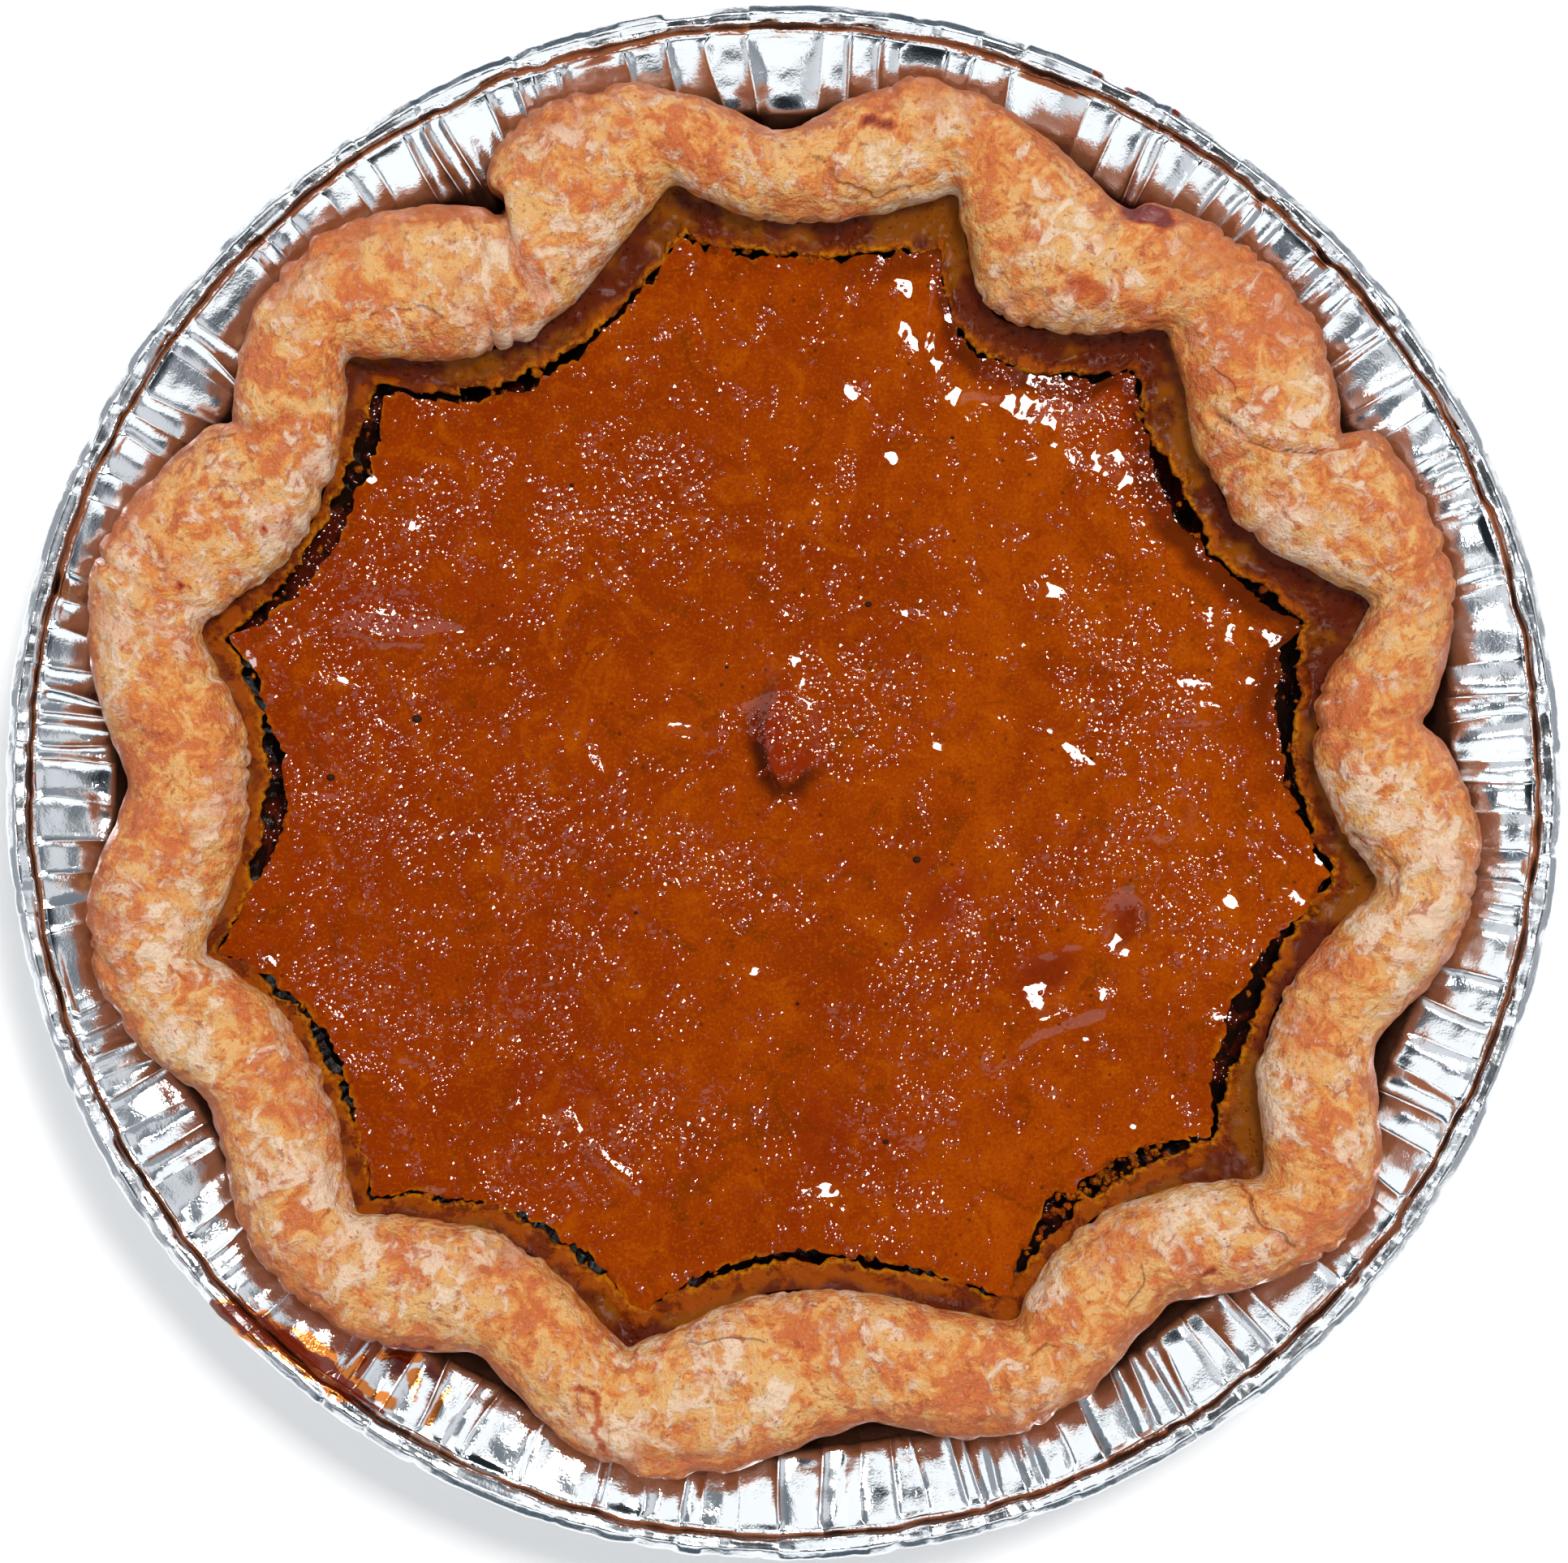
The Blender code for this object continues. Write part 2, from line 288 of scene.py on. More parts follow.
def fill_ramp(ramp, stops):
    """Sets a colour ramp's stops, each given as its position and its colour."""
    for number, (position, colour) in enumerate(stops):
        if number > 1:
            ramp.elements.new(position)
        ramp.elements[number].position = position
        ramp.elements[number].color = (*colour, 1.0)


class Nodes:
    """A node tree in the making: it adds nodes and wires them up."""

    def __init__(self, tree):
        self.tree = tree

    def feed(self, socket, value):
        """Links a wrapped value to a socket, or sets a plain number, colour or vector."""
        if isinstance(value, Value):
            self.tree.links.new(value.socket, socket)
        elif isinstance(value, tuple) and len(value) == 3 and socket.type == "RGBA":
            socket.default_value = (*value, 1.0)
        else:
            socket.default_value = value

    def node(self, kind, settings, sockets, output=0):
        """Any node: its settings, or a ramp's stops, are set first, and then its sockets."""
        made = self.tree.nodes.new(kind)
        for name, value in settings.items():
            if name == "stops":
                fill_ramp(made.color_ramp, value)
            else:
                setattr(made, name, value)
        for key, value in sockets.items():
            self.feed(made.inputs[key], value)
        return Value(self, made.outputs[output])

    def blend(self, mask, under, over):
        """A colour that goes from one to another with a mask."""
        return self.node("ShaderNodeMix", {"data_type": "RGBA"}, {0: mask, 6: under, 7: over}, 2)

    def layered(self, colour, *layers):
        """A colour with others laid over it, each given as its mask and its colour."""
        for mask, over in layers:
            colour = self.blend(mask, colour, over)
        return colour


class Finish(Nodes):
    """A material in the making, with one Principled shader."""

    def __init__(self, name):
        self.material = bpy.data.materials.new(name)
        self.material.use_nodes = True
        super().__init__(self.material.node_tree)
        self.shader = self.tree.nodes["Principled BSDF"]
        self.place = self.node("ShaderNodeTexCoord", {}, {}, "Object")

    def mark(self, name):
        """A value that the mesh carries at each point."""
        return self.node("ShaderNodeAttribute", {"attribute_name": name}, {}, "Fac")

    def placed(self, name):
        """A position in metres that the mesh carries at each point."""
        return self.node("ShaderNodeAttribute", {"attribute_name": name}, {}, "Vector")

    def coordinate(self, axis):
        """The position along one axis, in metres."""
        return self.node("ShaderNodeSeparateXYZ", {}, {0: self.place}, axis)

    def noise(self, size, detail=3.0, roughness=0.55, distortion=0.0, place=None, stretch=None):
        """Cloudy noise about 0.5, with clouds of a size in millimetres."""
        place = place or self.place
        if stretch is not None:
            place = self.node("ShaderNodeVectorMath", {"operation": "MULTIPLY"},
                              {0: place, 1: stretch})
        return self.node("ShaderNodeTexNoise", {}, {
            "Vector": place, "Scale": 1.0 / (size * MM), "Detail": detail,
            "Roughness": roughness, "Distortion": distortion})

    def cells(self, size, output="Distance"):
        """Scattered points about a size apart: the distance to the nearest one, or its colour."""
        return self.node("ShaderNodeTexVoronoi", {},
                         {"Vector": self.place, "Scale": 1.0 / (size * MM)}, output)

    def bubbles(self, size, radius, share):
        """Scattered domes: cells of a size, a radius in cells, and the share of them there."""
        distance = self.cells(size)
        pick = self.cells(size, "Color")
        there = pick.maths("LESS_THAN", pick, share)
        return distance.between(radius, 0.0) * there

    def relief(self, height):
        """A bump from a height in millimetres."""
        return self.node("ShaderNodeBump", {},
                         {"Height": height, "Distance": MM, "Strength": 1.0})

    def set(self, **sockets):
        """Sets or links sockets of the shader, written with underscores for spaces."""
        for name, value in sockets.items():
            self.feed(self.shader.inputs[name.replace("_", " ")], value)
        return self.material


# ---------------------------------------------------------------- pieces


def make_piece(name, points, faces, material, node=None, marks=None):
    """A mesh piece that rides with the pie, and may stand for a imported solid."""
    mesh = bpy.data.meshes.new(name)
    mesh.from_pydata((np.asarray(points) * MM).tolist(), [], faces)
    for mark, values in (marks or {}).items():
        values = np.asarray(values, dtype=np.float32)
        if values.shape[-1] == 3 and values.size == 3 * len(mesh.vertices):
            layer = mesh.attributes.new(mark, "FLOAT_VECTOR", "POINT")
            layer.data.foreach_set("vector", values.ravel() * MM)
        else:
            layer = mesh.attributes.new(mark, "FLOAT", "POINT")
            layer.data.foreach_set("value", values.ravel())
    mesh.shade_smooth()
    mesh.materials.append(material)
    piece = bpy.data.objects.new(name, mesh)
    bpy.context.scene.collection.objects.link(piece)
    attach(piece, "root")
    if node is not None:
        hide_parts(node)
    return piece


def band_faces(first, second, count):
    """Quads between two rings of the same count, given the rings' first point numbers."""
    column = np.arange(count)
    following = (column + 1) % count
    return np.stack([first + column, first + following, second + following, second + column],
                    axis=1).tolist()


def halving_faces(first, second, count):
    """Faces between a ring and the next one with half as many points."""
    half = count // 2
    faces = []
    for column in range(half):
        left = first + 2 * column
        middle = left + 1
        right = first + (2 * column + 2) % count
        near = second + column
        far = second + (column + 1) % half
        faces.append((left, middle, near))
        faces.append((middle, right, far, near))
    return faces


def ring_faces(rings, looped=False):
    """Faces of a skin through rings; the ends are closed with a cap unless it is looped."""
    starts = np.concatenate([[0], np.cumsum([len(ring) for ring in rings])])
    faces = []
    for band in range(len(rings) - 1):
        count = len(rings[band])
        if len(rings[band + 1]) == count:
            faces += band_faces(starts[band], starts[band + 1], count)
        else:
            faces += halving_faces(starts[band], starts[band + 1], count)
    if looped:
        faces += band_faces(starts[len(rings) - 1], 0, len(rings[0]))
    else:
        faces.append(tuple(reversed(range(len(rings[0])))))
        faces.append(tuple(range(starts[-2], starts[-1])))
    return faces


def ring(plan, height):
    """A ring of points at one height, or at a height for each."""
    return np.column_stack([plan, np.broadcast_to(height, len(plan))])


def outward(plan, distance):
    """Plan points moved straight away from the middle of the pie."""
    length = reach(plan)[:, None]
    return plan * (length + np.reshape(distance, (-1, 1))) / length


# ---------------------------------------------------------------- outlines from the frame


rope_outside = level_loop("crust", ROPE_LEVEL, SPLIT_RADIUS, FARTHEST)
rope_inside = level_loop("crust", ROPE_LEVEL, NEAREST, SPLIT_RADIUS)
filling_side = level_loop("filling", FILLING_LEVEL, NEAREST, FARTHEST_CRACK)
crack_side = level_loop("filling_edge", CRACK_LEVEL, NEAREST, FARTHEST_CRACK)
rope_outer = closed_curve(rope_outside, COLUMNS)
rope_inner = closed_curve(rope_inside, COLUMNS)
inner_fine = closed_curve(rope_inside, FINE_COLUMNS)
filling_outline = closed_curve(filling_side, FINE_COLUMNS)
crack_outline = closed_curve(crack_side, FINE_COLUMNS)


def matched(outer, inner):
    """The inner loop, started where its points pair best with the outer one's."""
    turned = [np.roll(inner, shift, axis=0) for shift in range(-40, 41)]
    return min(turned, key=lambda loop: reach(outer - loop).sum())


rope_inner = matched(rope_outer, rope_inner)


# ---------------------------------------------------------------- crust


ROPE_ROWS = 72
UNDER_TURN = 48.0
UNDER_DEPTH = 5.4
MEAN_RADIUS = 90.0

# The pastry case's outside under the rope: radius and height (mm)
CASE_FOOT = (86.0, FLOOR_UNDER)
CASE_LOW = (92.0, 9.0)
CASE_KNEE = (95.6, 16.5)
KNEE_UNDER_ROPE = 4.4
CASE_INSIDE = ((85.0, 6.0), (80.5, FILLING_FLOOR - 0.35), (40.0, FILLING_FLOOR - 0.35))

# How the rope's wrinkles fade in and out over the rings beside it
FADE_IN = (0.0, 0.3, 0.6, 0.9)
FADE_OUT = (0.6, 0.3, 0.0)
ROPE_GIRTH = 8.6

# Fine cracks in the baked skin: paths (mm)
SKIN_CRACKS = (
    ((66.0, 51.0), (69.0, 49.8), (71.5, 48.7), (75.0, 48.2), (78.5, 48.6)),
    ((62.6, 60.4), (64.8, 58.8), (66.2, 56.6), (67.4, 55.4)),
    ((-60.4, 68.1), (-57.8, 69.5), (-55.4, 68.9), (-53.3, 69.5), (-49.8, 68.1)),
    ((4.4, 91.9), (8.4, 87.9), (13.4, 85.9), (17.0, 86.9), (20.0, 87.3), (22.9, 89.2)),
    ((84.1, -7.6), (85.9, -9.2), (87.7, -9.4), (89.9, -13.0), (88.6, -15.0), (89.0, -17.4)),
    ((66.8, -58.6), (68.6, -61.0), (70.3, -65.5), (72.6, -66.3), (74.8, -68.1)),
    ((-90.4, 47.0), (-86.0, 49.8), (-81.0, 50.6)),
    ((50.6, -76.4), (52.6, -73.8), (52.2, -71.6)),
    ((36.4, -84.0), (38.4, -82.2), (40.2, -82.6)),
    ((-14.0, -82.4), (-8.0, -81.6), (-3.0, -82.2)),
)

# Folds pressed across or along the rope: path (mm), depth (mm), half width (mm)
FOLDS = (
    (((84.0, 49.6), (78.5, 48.4), (74.0, 48.2), (69.0, 49.8), (63.0, 53.8)), 1.5, 0.45),
    (((-42.4, 86.0), (-41.9, 84.0), (-40.8, 79.7), (-38.4, 74.8), (-35.1, 71.7)), 1.6, 1.0),
    (((-47.5, 84.6), (-44.4, 80.5), (-44.6, 76.3), (-48.8, 72.4)), 0.7, 0.8),
    (((-83.5, 54.0), (-79.5, 52.2), (-76.3, 51.6), (-72.0, 53.6)), 1.3, 0.8),
    (((95.9, 8.8), (92.5, 8.6), (88.0, 9.4)), 0.9, 0.9),
    (((51.5, 85.0), (48.0, 82.5), (46.6, 79.0)), 0.6, 1.0),
    (((-60.4, 68.1), (-57.8, 69.5), (-53.3, 69.3), (-49.8, 68.1)), 0.45, 0.35),
    (((5.4, 91.3), (9.0, 87.6), (13.4, 85.9), (18.5, 87.0), (22.3, 88.6)), 0.5, 0.4),
    (((84.1, -7.6), (87.7, -9.4), (89.6, -13.0), (89.0, -17.4)), 0.55, 0.4),
    (((68.6, -61.0), (70.3, -65.5), (74.8, -68.1)), 0.8, 0.6),
    (((57.5, -68.0), (60.0, -71.5), (61.5, -75.0)), 0.6, 0.7),
    (((-88.2, 17.0), (-84.0, 15.5), (-80.5, 16.5)), 0.5, 0.8),
    (((-20.0, -84.0), (-15.5, -82.6), (-11.5, -83.6)), 0.4, 0.5),
)

# Burnt and caramel-stained places: centre or path (mm), radius (mm), strength
BURNT_PATHS = (
    (((51.0, 83.6), (55.5, 82.4)), 1.5, 1.0),
    (((12.4, 96.9), (15.0, 96.0)), 1.1, 0.8),
    (((43.0, 72.6), (46.0, 70.9)), 1.6, 0.45),
    (((-29.8, -88.4), (-27.4, -91.5), (-27.6, -94.0), (-26.2, -98.2)), 0.6, 0.55),
    (((-70.0, -81.6), (-60.0, -83.6), (-52.5, -84.3)), 0.7, 0.8),
    (((-75.9, 37.3), (-75.7, 37.0)), 0.6, 0.7),
    (((-88.0, 29.3), (-87.8, 29.0)), 0.45, 0.6),
    (((62.2, -71.7), (62.6, -71.9)), 0.5, 0.7),
    (((-90.2, 6.2), (-90.0, 6.0)), 0.4, 0.4),
)


def rope_run(middle):
    """Distance travelled round the rope's middle line, and how it bends, at each column."""
    step = np.roll(middle, -1, axis=0) - middle
    lengths = reach(step)
    travelled = np.concatenate([[0.0], np.cumsum(lengths)[:-1]])
    heading = smoothed(step, 6)
    heading = heading / reach(heading)[:, None]
    ahead = np.roll(heading, -8, axis=0)
    behind = np.roll(heading, 8, axis=0)
    bend = (behind[:, 0] * ahead[:, 1] - behind[:, 1] * ahead[:, 0]) / (16.0 * lengths.mean())
    return travelled, smoothed(bend[:, None], 6)[:, 0]


def rope_rings(middle, half, turns):
    """Rings of the rope, from under its outer edge over its crown to under its inner edge."""
    facing = middle / reach(middle)[:, None]
    around = np.column_stack([facing * MEAN_RADIUS, np.zeros(COLUMNS)])
    crown = ROPE_CROWN * (0.93 + 0.07 * lumps(around, 22.0, 3))
    rope = []
    for turn in turns:
        across = math.cos(turn)
        across = math.copysign(abs(across) ** 0.92, across)
        rise = math.sin(turn)
        height = crown * rise if rise > 0.0 else np.full(COLUMNS, UNDER_DEPTH * rise)
        rope.append(ring(middle + half * across, ROPE_LEVEL + height))
    return rope


def case_rings(facing, start, end):
    """Rings of the pastry case outside the rope's first ring, and inside its last one."""
    outer_foot = ring(facing * CASE_FOOT[0], CASE_FOOT[1])
    outer_low = ring(facing * CASE_LOW[0], CASE_LOW[1])
    knee_radius = np.minimum(CASE_KNEE[0], reach(rope_outer) - KNEE_UNDER_ROPE)
    outer_knee = ring(facing * knee_radius[:, None], CASE_KNEE[1])
    outside = [outer_foot, outer_low]
    outside += [outer_low + (outer_knee - outer_low) * share for share in (0.35, 0.7, 1.0)]
    outside += [outer_knee + (start - outer_knee) * share for share in (0.33, 0.66)]

    inner_wall = ring(outward(rope_inner, 70.0 + 0.22 * reach(rope_inner) - reach(rope_inner)),
                      CRACK_FLOOR - 0.4)
    inside = [end + (inner_wall - end) * share for share in (0.25, 0.5, 0.75, 1.0)]
    inside += [ring(facing * radius, height) for radius, height in CASE_INSIDE]
    return outside, inside


def dough_wrinkles(points, unrolled, row_turn, bend):
    """How far the dough is drawn in by gathers, pleats and flaking skin, in millimetres."""
    # Dough bunches up on the hollow side of a bend, in pleats that cross the rope
    hollow_inside = np.clip(-bend * 14.0, 0.0, 1.0)[None, :] * ease(row_turn, 0.9, 2.4)
    hollow_outside = np.clip(bend * 14.0, 0.0, 1.0)[None, :] * ease(row_turn, 2.2, 0.5)
    bunched = np.maximum(hollow_inside, hollow_outside)
    cross = creases(unrolled / np.array([1.0, 3.6, 1.0]), 3.3, 21) ** 2
    cross_fine = creases(unrolled / np.array([1.0, 2.6, 1.0]), 1.8, 22) ** 3
    tight = ease(lumps(points, 13.0, 25), -0.1, 0.5)
    gathers = (0.08 + 0.32 * tight + 1.05 * bunched) * cross
    gathers += (0.06 + 0.2 * tight + 0.45 * bunched) * cross_fine
    flake_edge = creases(unrolled / np.array([2.0, 1.0, 1.0]), 5.0, 23) ** 10
    return -gathers - 0.35 * flake_edge * ease(lumps(points, 18.0, 24), 0.0, 0.4)


def pressed_folds(points):
    """How deep the pressed folds are, with a low swelling along each side."""
    plan = points[..., :2] + 0.35 * lumps(points, 2.5, 31)[..., None]
    pressed = np.zeros(points.shape[:-1])
    for path, depth, width in FOLDS:
        gap = distance_to_path(plan, path)
        pressed -= depth * np.exp(-(gap / width) ** 1.3)
        pressed += 0.28 * depth * np.exp(-((gap - 2.4 * width) / (1.6 * width)) ** 2)
    return pressed


def burnt_at(points):
    """How burnt the crust is, from 0 to 1."""
    plan = points[..., :2] + 0.7 * lumps(points, 1.8, 42)[..., None]
    burnt = np.zeros(points.shape[:-1])
    for path, radius, strength in BURNT_PATHS:
        here = strength * ease(distance_to_path(plan, path), 1.7 * radius, 0.35 * radius)
        burnt = np.maximum(burnt, here)
    return burnt


def make_crust(material):
    """The baked crust: its rolled, crimped rope and the pastry case under it."""
    middle = (rope_outer + rope_inner) / 2.0
    half = (rope_outer - rope_inner) / 2.0
    travelled, bend = rope_run(middle)
    turns = np.radians(np.linspace(-UNDER_TURN, 180.0 + UNDER_TURN, ROPE_ROWS))
    rope = rope_rings(middle, half, turns)
    outside, inside = case_rings(middle / reach(middle)[:, None], rope[0], rope[-1])
    rings = np.array(outside + rope + inside)
    normals = grid_normals(rings)

    # The rope and a few rings past both its edges are wrinkled, less and less outwards
    first = len(outside)
    shown = slice(first - len(FADE_IN), first + ROPE_ROWS + len(FADE_OUT))
    points = rings[shown]
    fade = np.concatenate([FADE_IN, np.ones(ROPE_ROWS), FADE_OUT])[:, None]
    row_turn = np.concatenate([np.full(len(FADE_IN), turns[0]), turns,
                               np.full(len(FADE_OUT), turns[-1])])[:, None]
    run = np.broadcast_to(travelled, points.shape[:-1])
    around_rope = row_turn * ROPE_GIRTH * np.ones_like(run)
    unrolled = np.stack([run, around_rope, np.zeros_like(run)], axis=-1)
    puff = stacked(points, (0.55, 16.0, 11), (0.46, 7.5, 12), (0.30, 3.8, 13), (0.17, 1.9, 14))
    wrinkles = dough_wrinkles(points, unrolled, row_turn, bend)
    pressed = pressed_folds(points)
    rings[shown] += normals[shown] * ((puff + wrinkles + pressed) * fade)[..., None]

    # Partly real browning and partly painted shade: the rope's outer, lower side is coloured warmer
    # and browner, where it turns away from the light
    low_side = ease(np.broadcast_to(np.degrees(row_turn), run.shape), 62.0, 4.0)
    wobbled = points[..., :2] + 0.5 * lumps(points, 2.0, 43)[..., None]
    seam_side, seam_near = seam_marks(wobbled, SKIN_CRACKS)
    lap_radius = travelled.max() / math.tau
    on_rope = {
        "browned_and_shaded": np.clip(low_side + 0.25 * lumps(points, 9.0, 41), 0.0, 1.0),
        "burnt": burnt_at(points),
        # Painted shade: the hollows of the wrinkles and pressed folds are laid with darker salmon
        "sunk_shade": np.clip(-1.5 * (wrinkles + np.minimum(pressed, 0.0) + 0.14), 0.0, 1.0),
        "risen": np.clip(0.5 + 0.6 * puff - 0.5 * wrinkles, 0.0, 1.0),
        "seam_side": seam_side,
        "seam_near": seam_near,
        "wrapped": np.concatenate([polar(np.degrees(run / lap_radius), lap_radius),
                                   around_rope[..., None]], axis=-1),
    }
    marks = {}
    for name, values in on_rope.items():
        marks[name] = np.zeros((len(rings), *values.shape[1:]))
        marks[name][shown] = values
    # Painted shade: the outer underside of the rope and the case below it are coloured near-black
    # brown, where the rope shades them
    below_first = ease(np.arange(len(rings)), first + 20.0, first + 10.0)[:, None]
    marks["under"] = ease(rings[..., 2], ROPE_LEVEL - 1.2, ROPE_LEVEL - 4.0) * below_first
    make_piece("crust_baked", np.concatenate(rings), ring_faces(rings), material,
               "crust", marks)


def pastry():
    """Golden baked pastry, mottled orange-brown, with floury and burnt places, and painted shade
    under the rope, along its outer low side and in its hollows.
    """
    finish = Finish("pastry_baked")
    wrapped = finish.placed("wrapped")
    mottle = finish.noise(4.4, detail=5.0, roughness=0.64, distortion=1.0)
    scorch = finish.noise(2.8, detail=6.0, roughness=0.66, distortion=0.6)
    regions = finish.noise(17.0, detail=2.0, roughness=0.5)
    flour = finish.noise(4.2, detail=6.0, roughness=0.66, distortion=0.8)
    flecks = finish.noise(1.4, detail=4.0, roughness=0.7)
    gathers = finish.noise(2.0, detail=5.0, roughness=0.62, place=wrapped,
                           stretch=(1.0, 1.0, 0.30))
    flakes = finish.noise(1.6, detail=5.0, roughness=0.66, place=wrapped,
                          stretch=(0.5, 0.5, 1.0))
    grain = finish.noise(0.7, detail=4.0, roughness=0.7)
    speck = finish.noise(0.8, detail=1.0)
    browned_and_shaded = finish.mark("browned_and_shaded")
    burnt = finish.mark("burnt")

    golden = (0.83, 0.460, 0.164)
    amber = (0.77, 0.285, 0.056)
    salmon = (0.645, 0.157, 0.041)
    brown = (0.46, 0.078, 0.012)
    floury = (0.90, 0.69, 0.51)
    warm_shaded_side = (0.80, 0.25, 0.035)
    crack_brown = (0.26, 0.050, 0.012)
    underside_shade = (0.13, 0.032, 0.010)
    scorched = (0.55, 0.090, 0.012)
    burnt_red = (0.20, 0.009, 0.003)

    toast = mottle + (regions - 0.5) * 0.5 + (gathers - 0.5) * 0.3
    dusting = flour - (regions - 0.5) * 0.5 + (finish.mark("risen") - 0.5) * 0.14 - browned_and_shaded * 0.09
    dusting = dusting + (gathers - 0.5) * 0.35 + (flecks - 0.5) * 0.25
    toasted = (browned_and_shaded * 0.30 + scorch + (flakes - 0.5) * 0.5).between(0.59, 0.69)
    across = finish.mark("seam_side") + (scorch - 0.5)
    broken = scorch.between(0.40, 0.52)
    split = across.size().between(0.24, 0.05) * finish.mark("seam_near") * broken
    charred = burnt + (scorch - 0.5) * 1.2 * burnt.between(0.0, 0.3)
    colour = finish.layered(
        golden,
        (toast.between(0.41, 0.53), amber),
        (toast.between(0.52, 0.60) * 0.9, salmon),
        (flecks.between(0.57, 0.66) * 0.65, salmon),
        (dusting.between(0.50, 0.66) * 0.85, floury),
        # browning and painted warm shade on the rope's outer low side
        (browned_and_shaded.between(0.1, 0.8) * 0.7, warm_shaded_side),
        (toasted * 0.7, brown),
        (grain.between(0.54, 0.72) * 0.35, brown),
        (grain.between(0.46, 0.28) * 0.35, floury),
        # painted shade in the hollows of wrinkles and folds
        (finish.mark("sunk_shade") * 0.6, salmon),
        (speck.between(0.70, 0.76) * 0.7, brown),
        (split * 0.5, crack_brown),
        # painted shade under the rope
        (finish.mark("under") * 0.85, underside_shade),
        (charred.between(0.05, 0.45) * 0.85, scorched),
        (charred.between(0.40, 0.75) * 0.95, burnt_red))

    lumpy = finish.noise(1.7, detail=5.0, roughness=0.62) * 1.5 + grain * 0.35
    creased = (gathers * 0.6 + flakes * 0.5) * 0.9 - split * 0.4
    torn = finish.relief(lumpy + creased + dusting.between(0.52, 0.60) * 0.10)
    return finish.set(Base_Color=colour, Roughness=0.31 + dusting.between(0.5, 0.6) * 0.22,
                      Normal=torn, Specular_IOR_Level=0.45, Subsurface_Weight=0.25,
                      Subsurface_Radius=(1.0, 0.35, 0.12), Subsurface_Scale=2.5 * MM)


# ---------------------------------------------------------------- filling


# Rings of the top: their step (mm), the radius (mm) that keeps all the columns, and the
# fewest columns and smallest radius (mm) they come down to
RING_STEP = 0.70
ALL_COLUMNS_FROM = 53.0
FEWEST_COLUMNS = 60
LAST_RING = 1.2
FINE_RINGS = 5
EDGE_TEAR = 0.55

# The filling's hidden base: radius, and height over its floor (mm)
FILLING_FOOT = ((80.2, 0.0), (84.0, 1.6))
SHARP_EDGE = 55.0

# Hollows in the top: centre (mm), half sizes (mm), turn, depth (mm)
DENTS = (
    ((24.5, -17.6), (5.6, 3.6), 40.0, 0.75),
    ((20.2, -13.0), (3.0, 2.2), 60.0, 0.45),
    ((50.8, -20.0), (2.6, 4.0), 0.0, 0.9),
    ((38.8, -28.4), (6.0, 3.4), 30.0, 0.75),
    ((-46.0, 29.0), (9.0, 3.0), -60.0, 0.35),
    ((-58.0, 8.0), (3.0, 6.0), 20.0, 0.3),
    ((-33.0, -46.5), (12.0, 3.4), -20.0, 0.35),
    ((6.0, -53.0), (4.0, 9.0), 10.0, 0.5),
    ((-60.0, 26.0), (8.0, 3.0), 5.0, 0.4),
)

# Soft ridges where the top wrinkled as it set: path (mm), height (mm), half width (mm)
RIDGES = (
    (((-64.0, 22.5), (-56.0, 20.8), (-49.0, 22.0)), 0.5, 1.4),
    (((-33.0, -50.0), (-27.0, -56.0), (-22.0, -60.0)), 0.35, 1.0),
    (((30.0, -42.0), (38.0, -36.0), (47.0, -33.0)), 0.4, 1.6),
    (((-20.0, 6.5), (-12.0, 5.6), (-5.5, 6.6)), 0.3, 1.2),
)

# Places with more bubbles: centre (mm), half sizes (mm), turn
BUBBLY = (
    ((-58.0, 30.0), (20.0, 9.0), 40.0),
    ((-60.0, 0.0), (12.0, 17.0), -20.0),
    ((-34.0, -10.0), (9.0, 14.0), 20.0),
    ((-60.0, -34.0), (14.0, 9.0), -30.0),
    ((-26.0, -54.0), (20.0, 7.0), 20.0),
    ((10.0, 12.0), (15.0, 9.0), 20.0),
    ((52.0, 14.0), (9.0, 22.0), 30.0),
    ((46.0, 56.0), (22.0, 9.0), -45.0),
    ((46.0, -12.0), (16.0, 7.0), 30.0),
    ((20.0, -50.0), (14.0, 6.0), 30.0),
    ((-24.0, 42.0), (16.0, 8.0), 30.0),
    ((-10.0, -12.0), (15.0, 7.0), -25.0),
    ((-38.0, -30.0), (13.0, 7.0), 35.0),
    ((24.0, -28.0), (14.0, 6.0), 50.0),
    ((60.0, -20.0), (8.0, 13.0), 20.0),
)

# Bearing of the side where the top sinks towards the crack, and where a painted shadow of the rope
# lies along the filling's edge
SUNK_SIDE = 42.0

# The fold in the middle: a scarp along a path, easing away on its upper right side
FOLD_PATH = ((-1.6, 13.5), (-3.0, 9.5), (-3.2, 5.5), (-2.2, 1.8), (-0.6, -0.8), (1.4, -0.7),
             (3.4, 1.4), (6.5, 2.8), (11.5, 3.2))
FOLD_HEIGHT = 0.38
FOLD_CENTRE = (-0.5, 4.5)
FOLD_SPREAD = 9.5


def fold_place(plan):
    """Signed distance across the fold, positive on its high side, and how near it is."""
    across, _ = seam_marks(plan, (FOLD_PATH,))
    across = np.sign(across) * distance_to_path(plan, FOLD_PATH)
    return across, np.exp(-(reach(plan - np.array(FOLD_CENTRE)) / FOLD_SPREAD) ** 4)


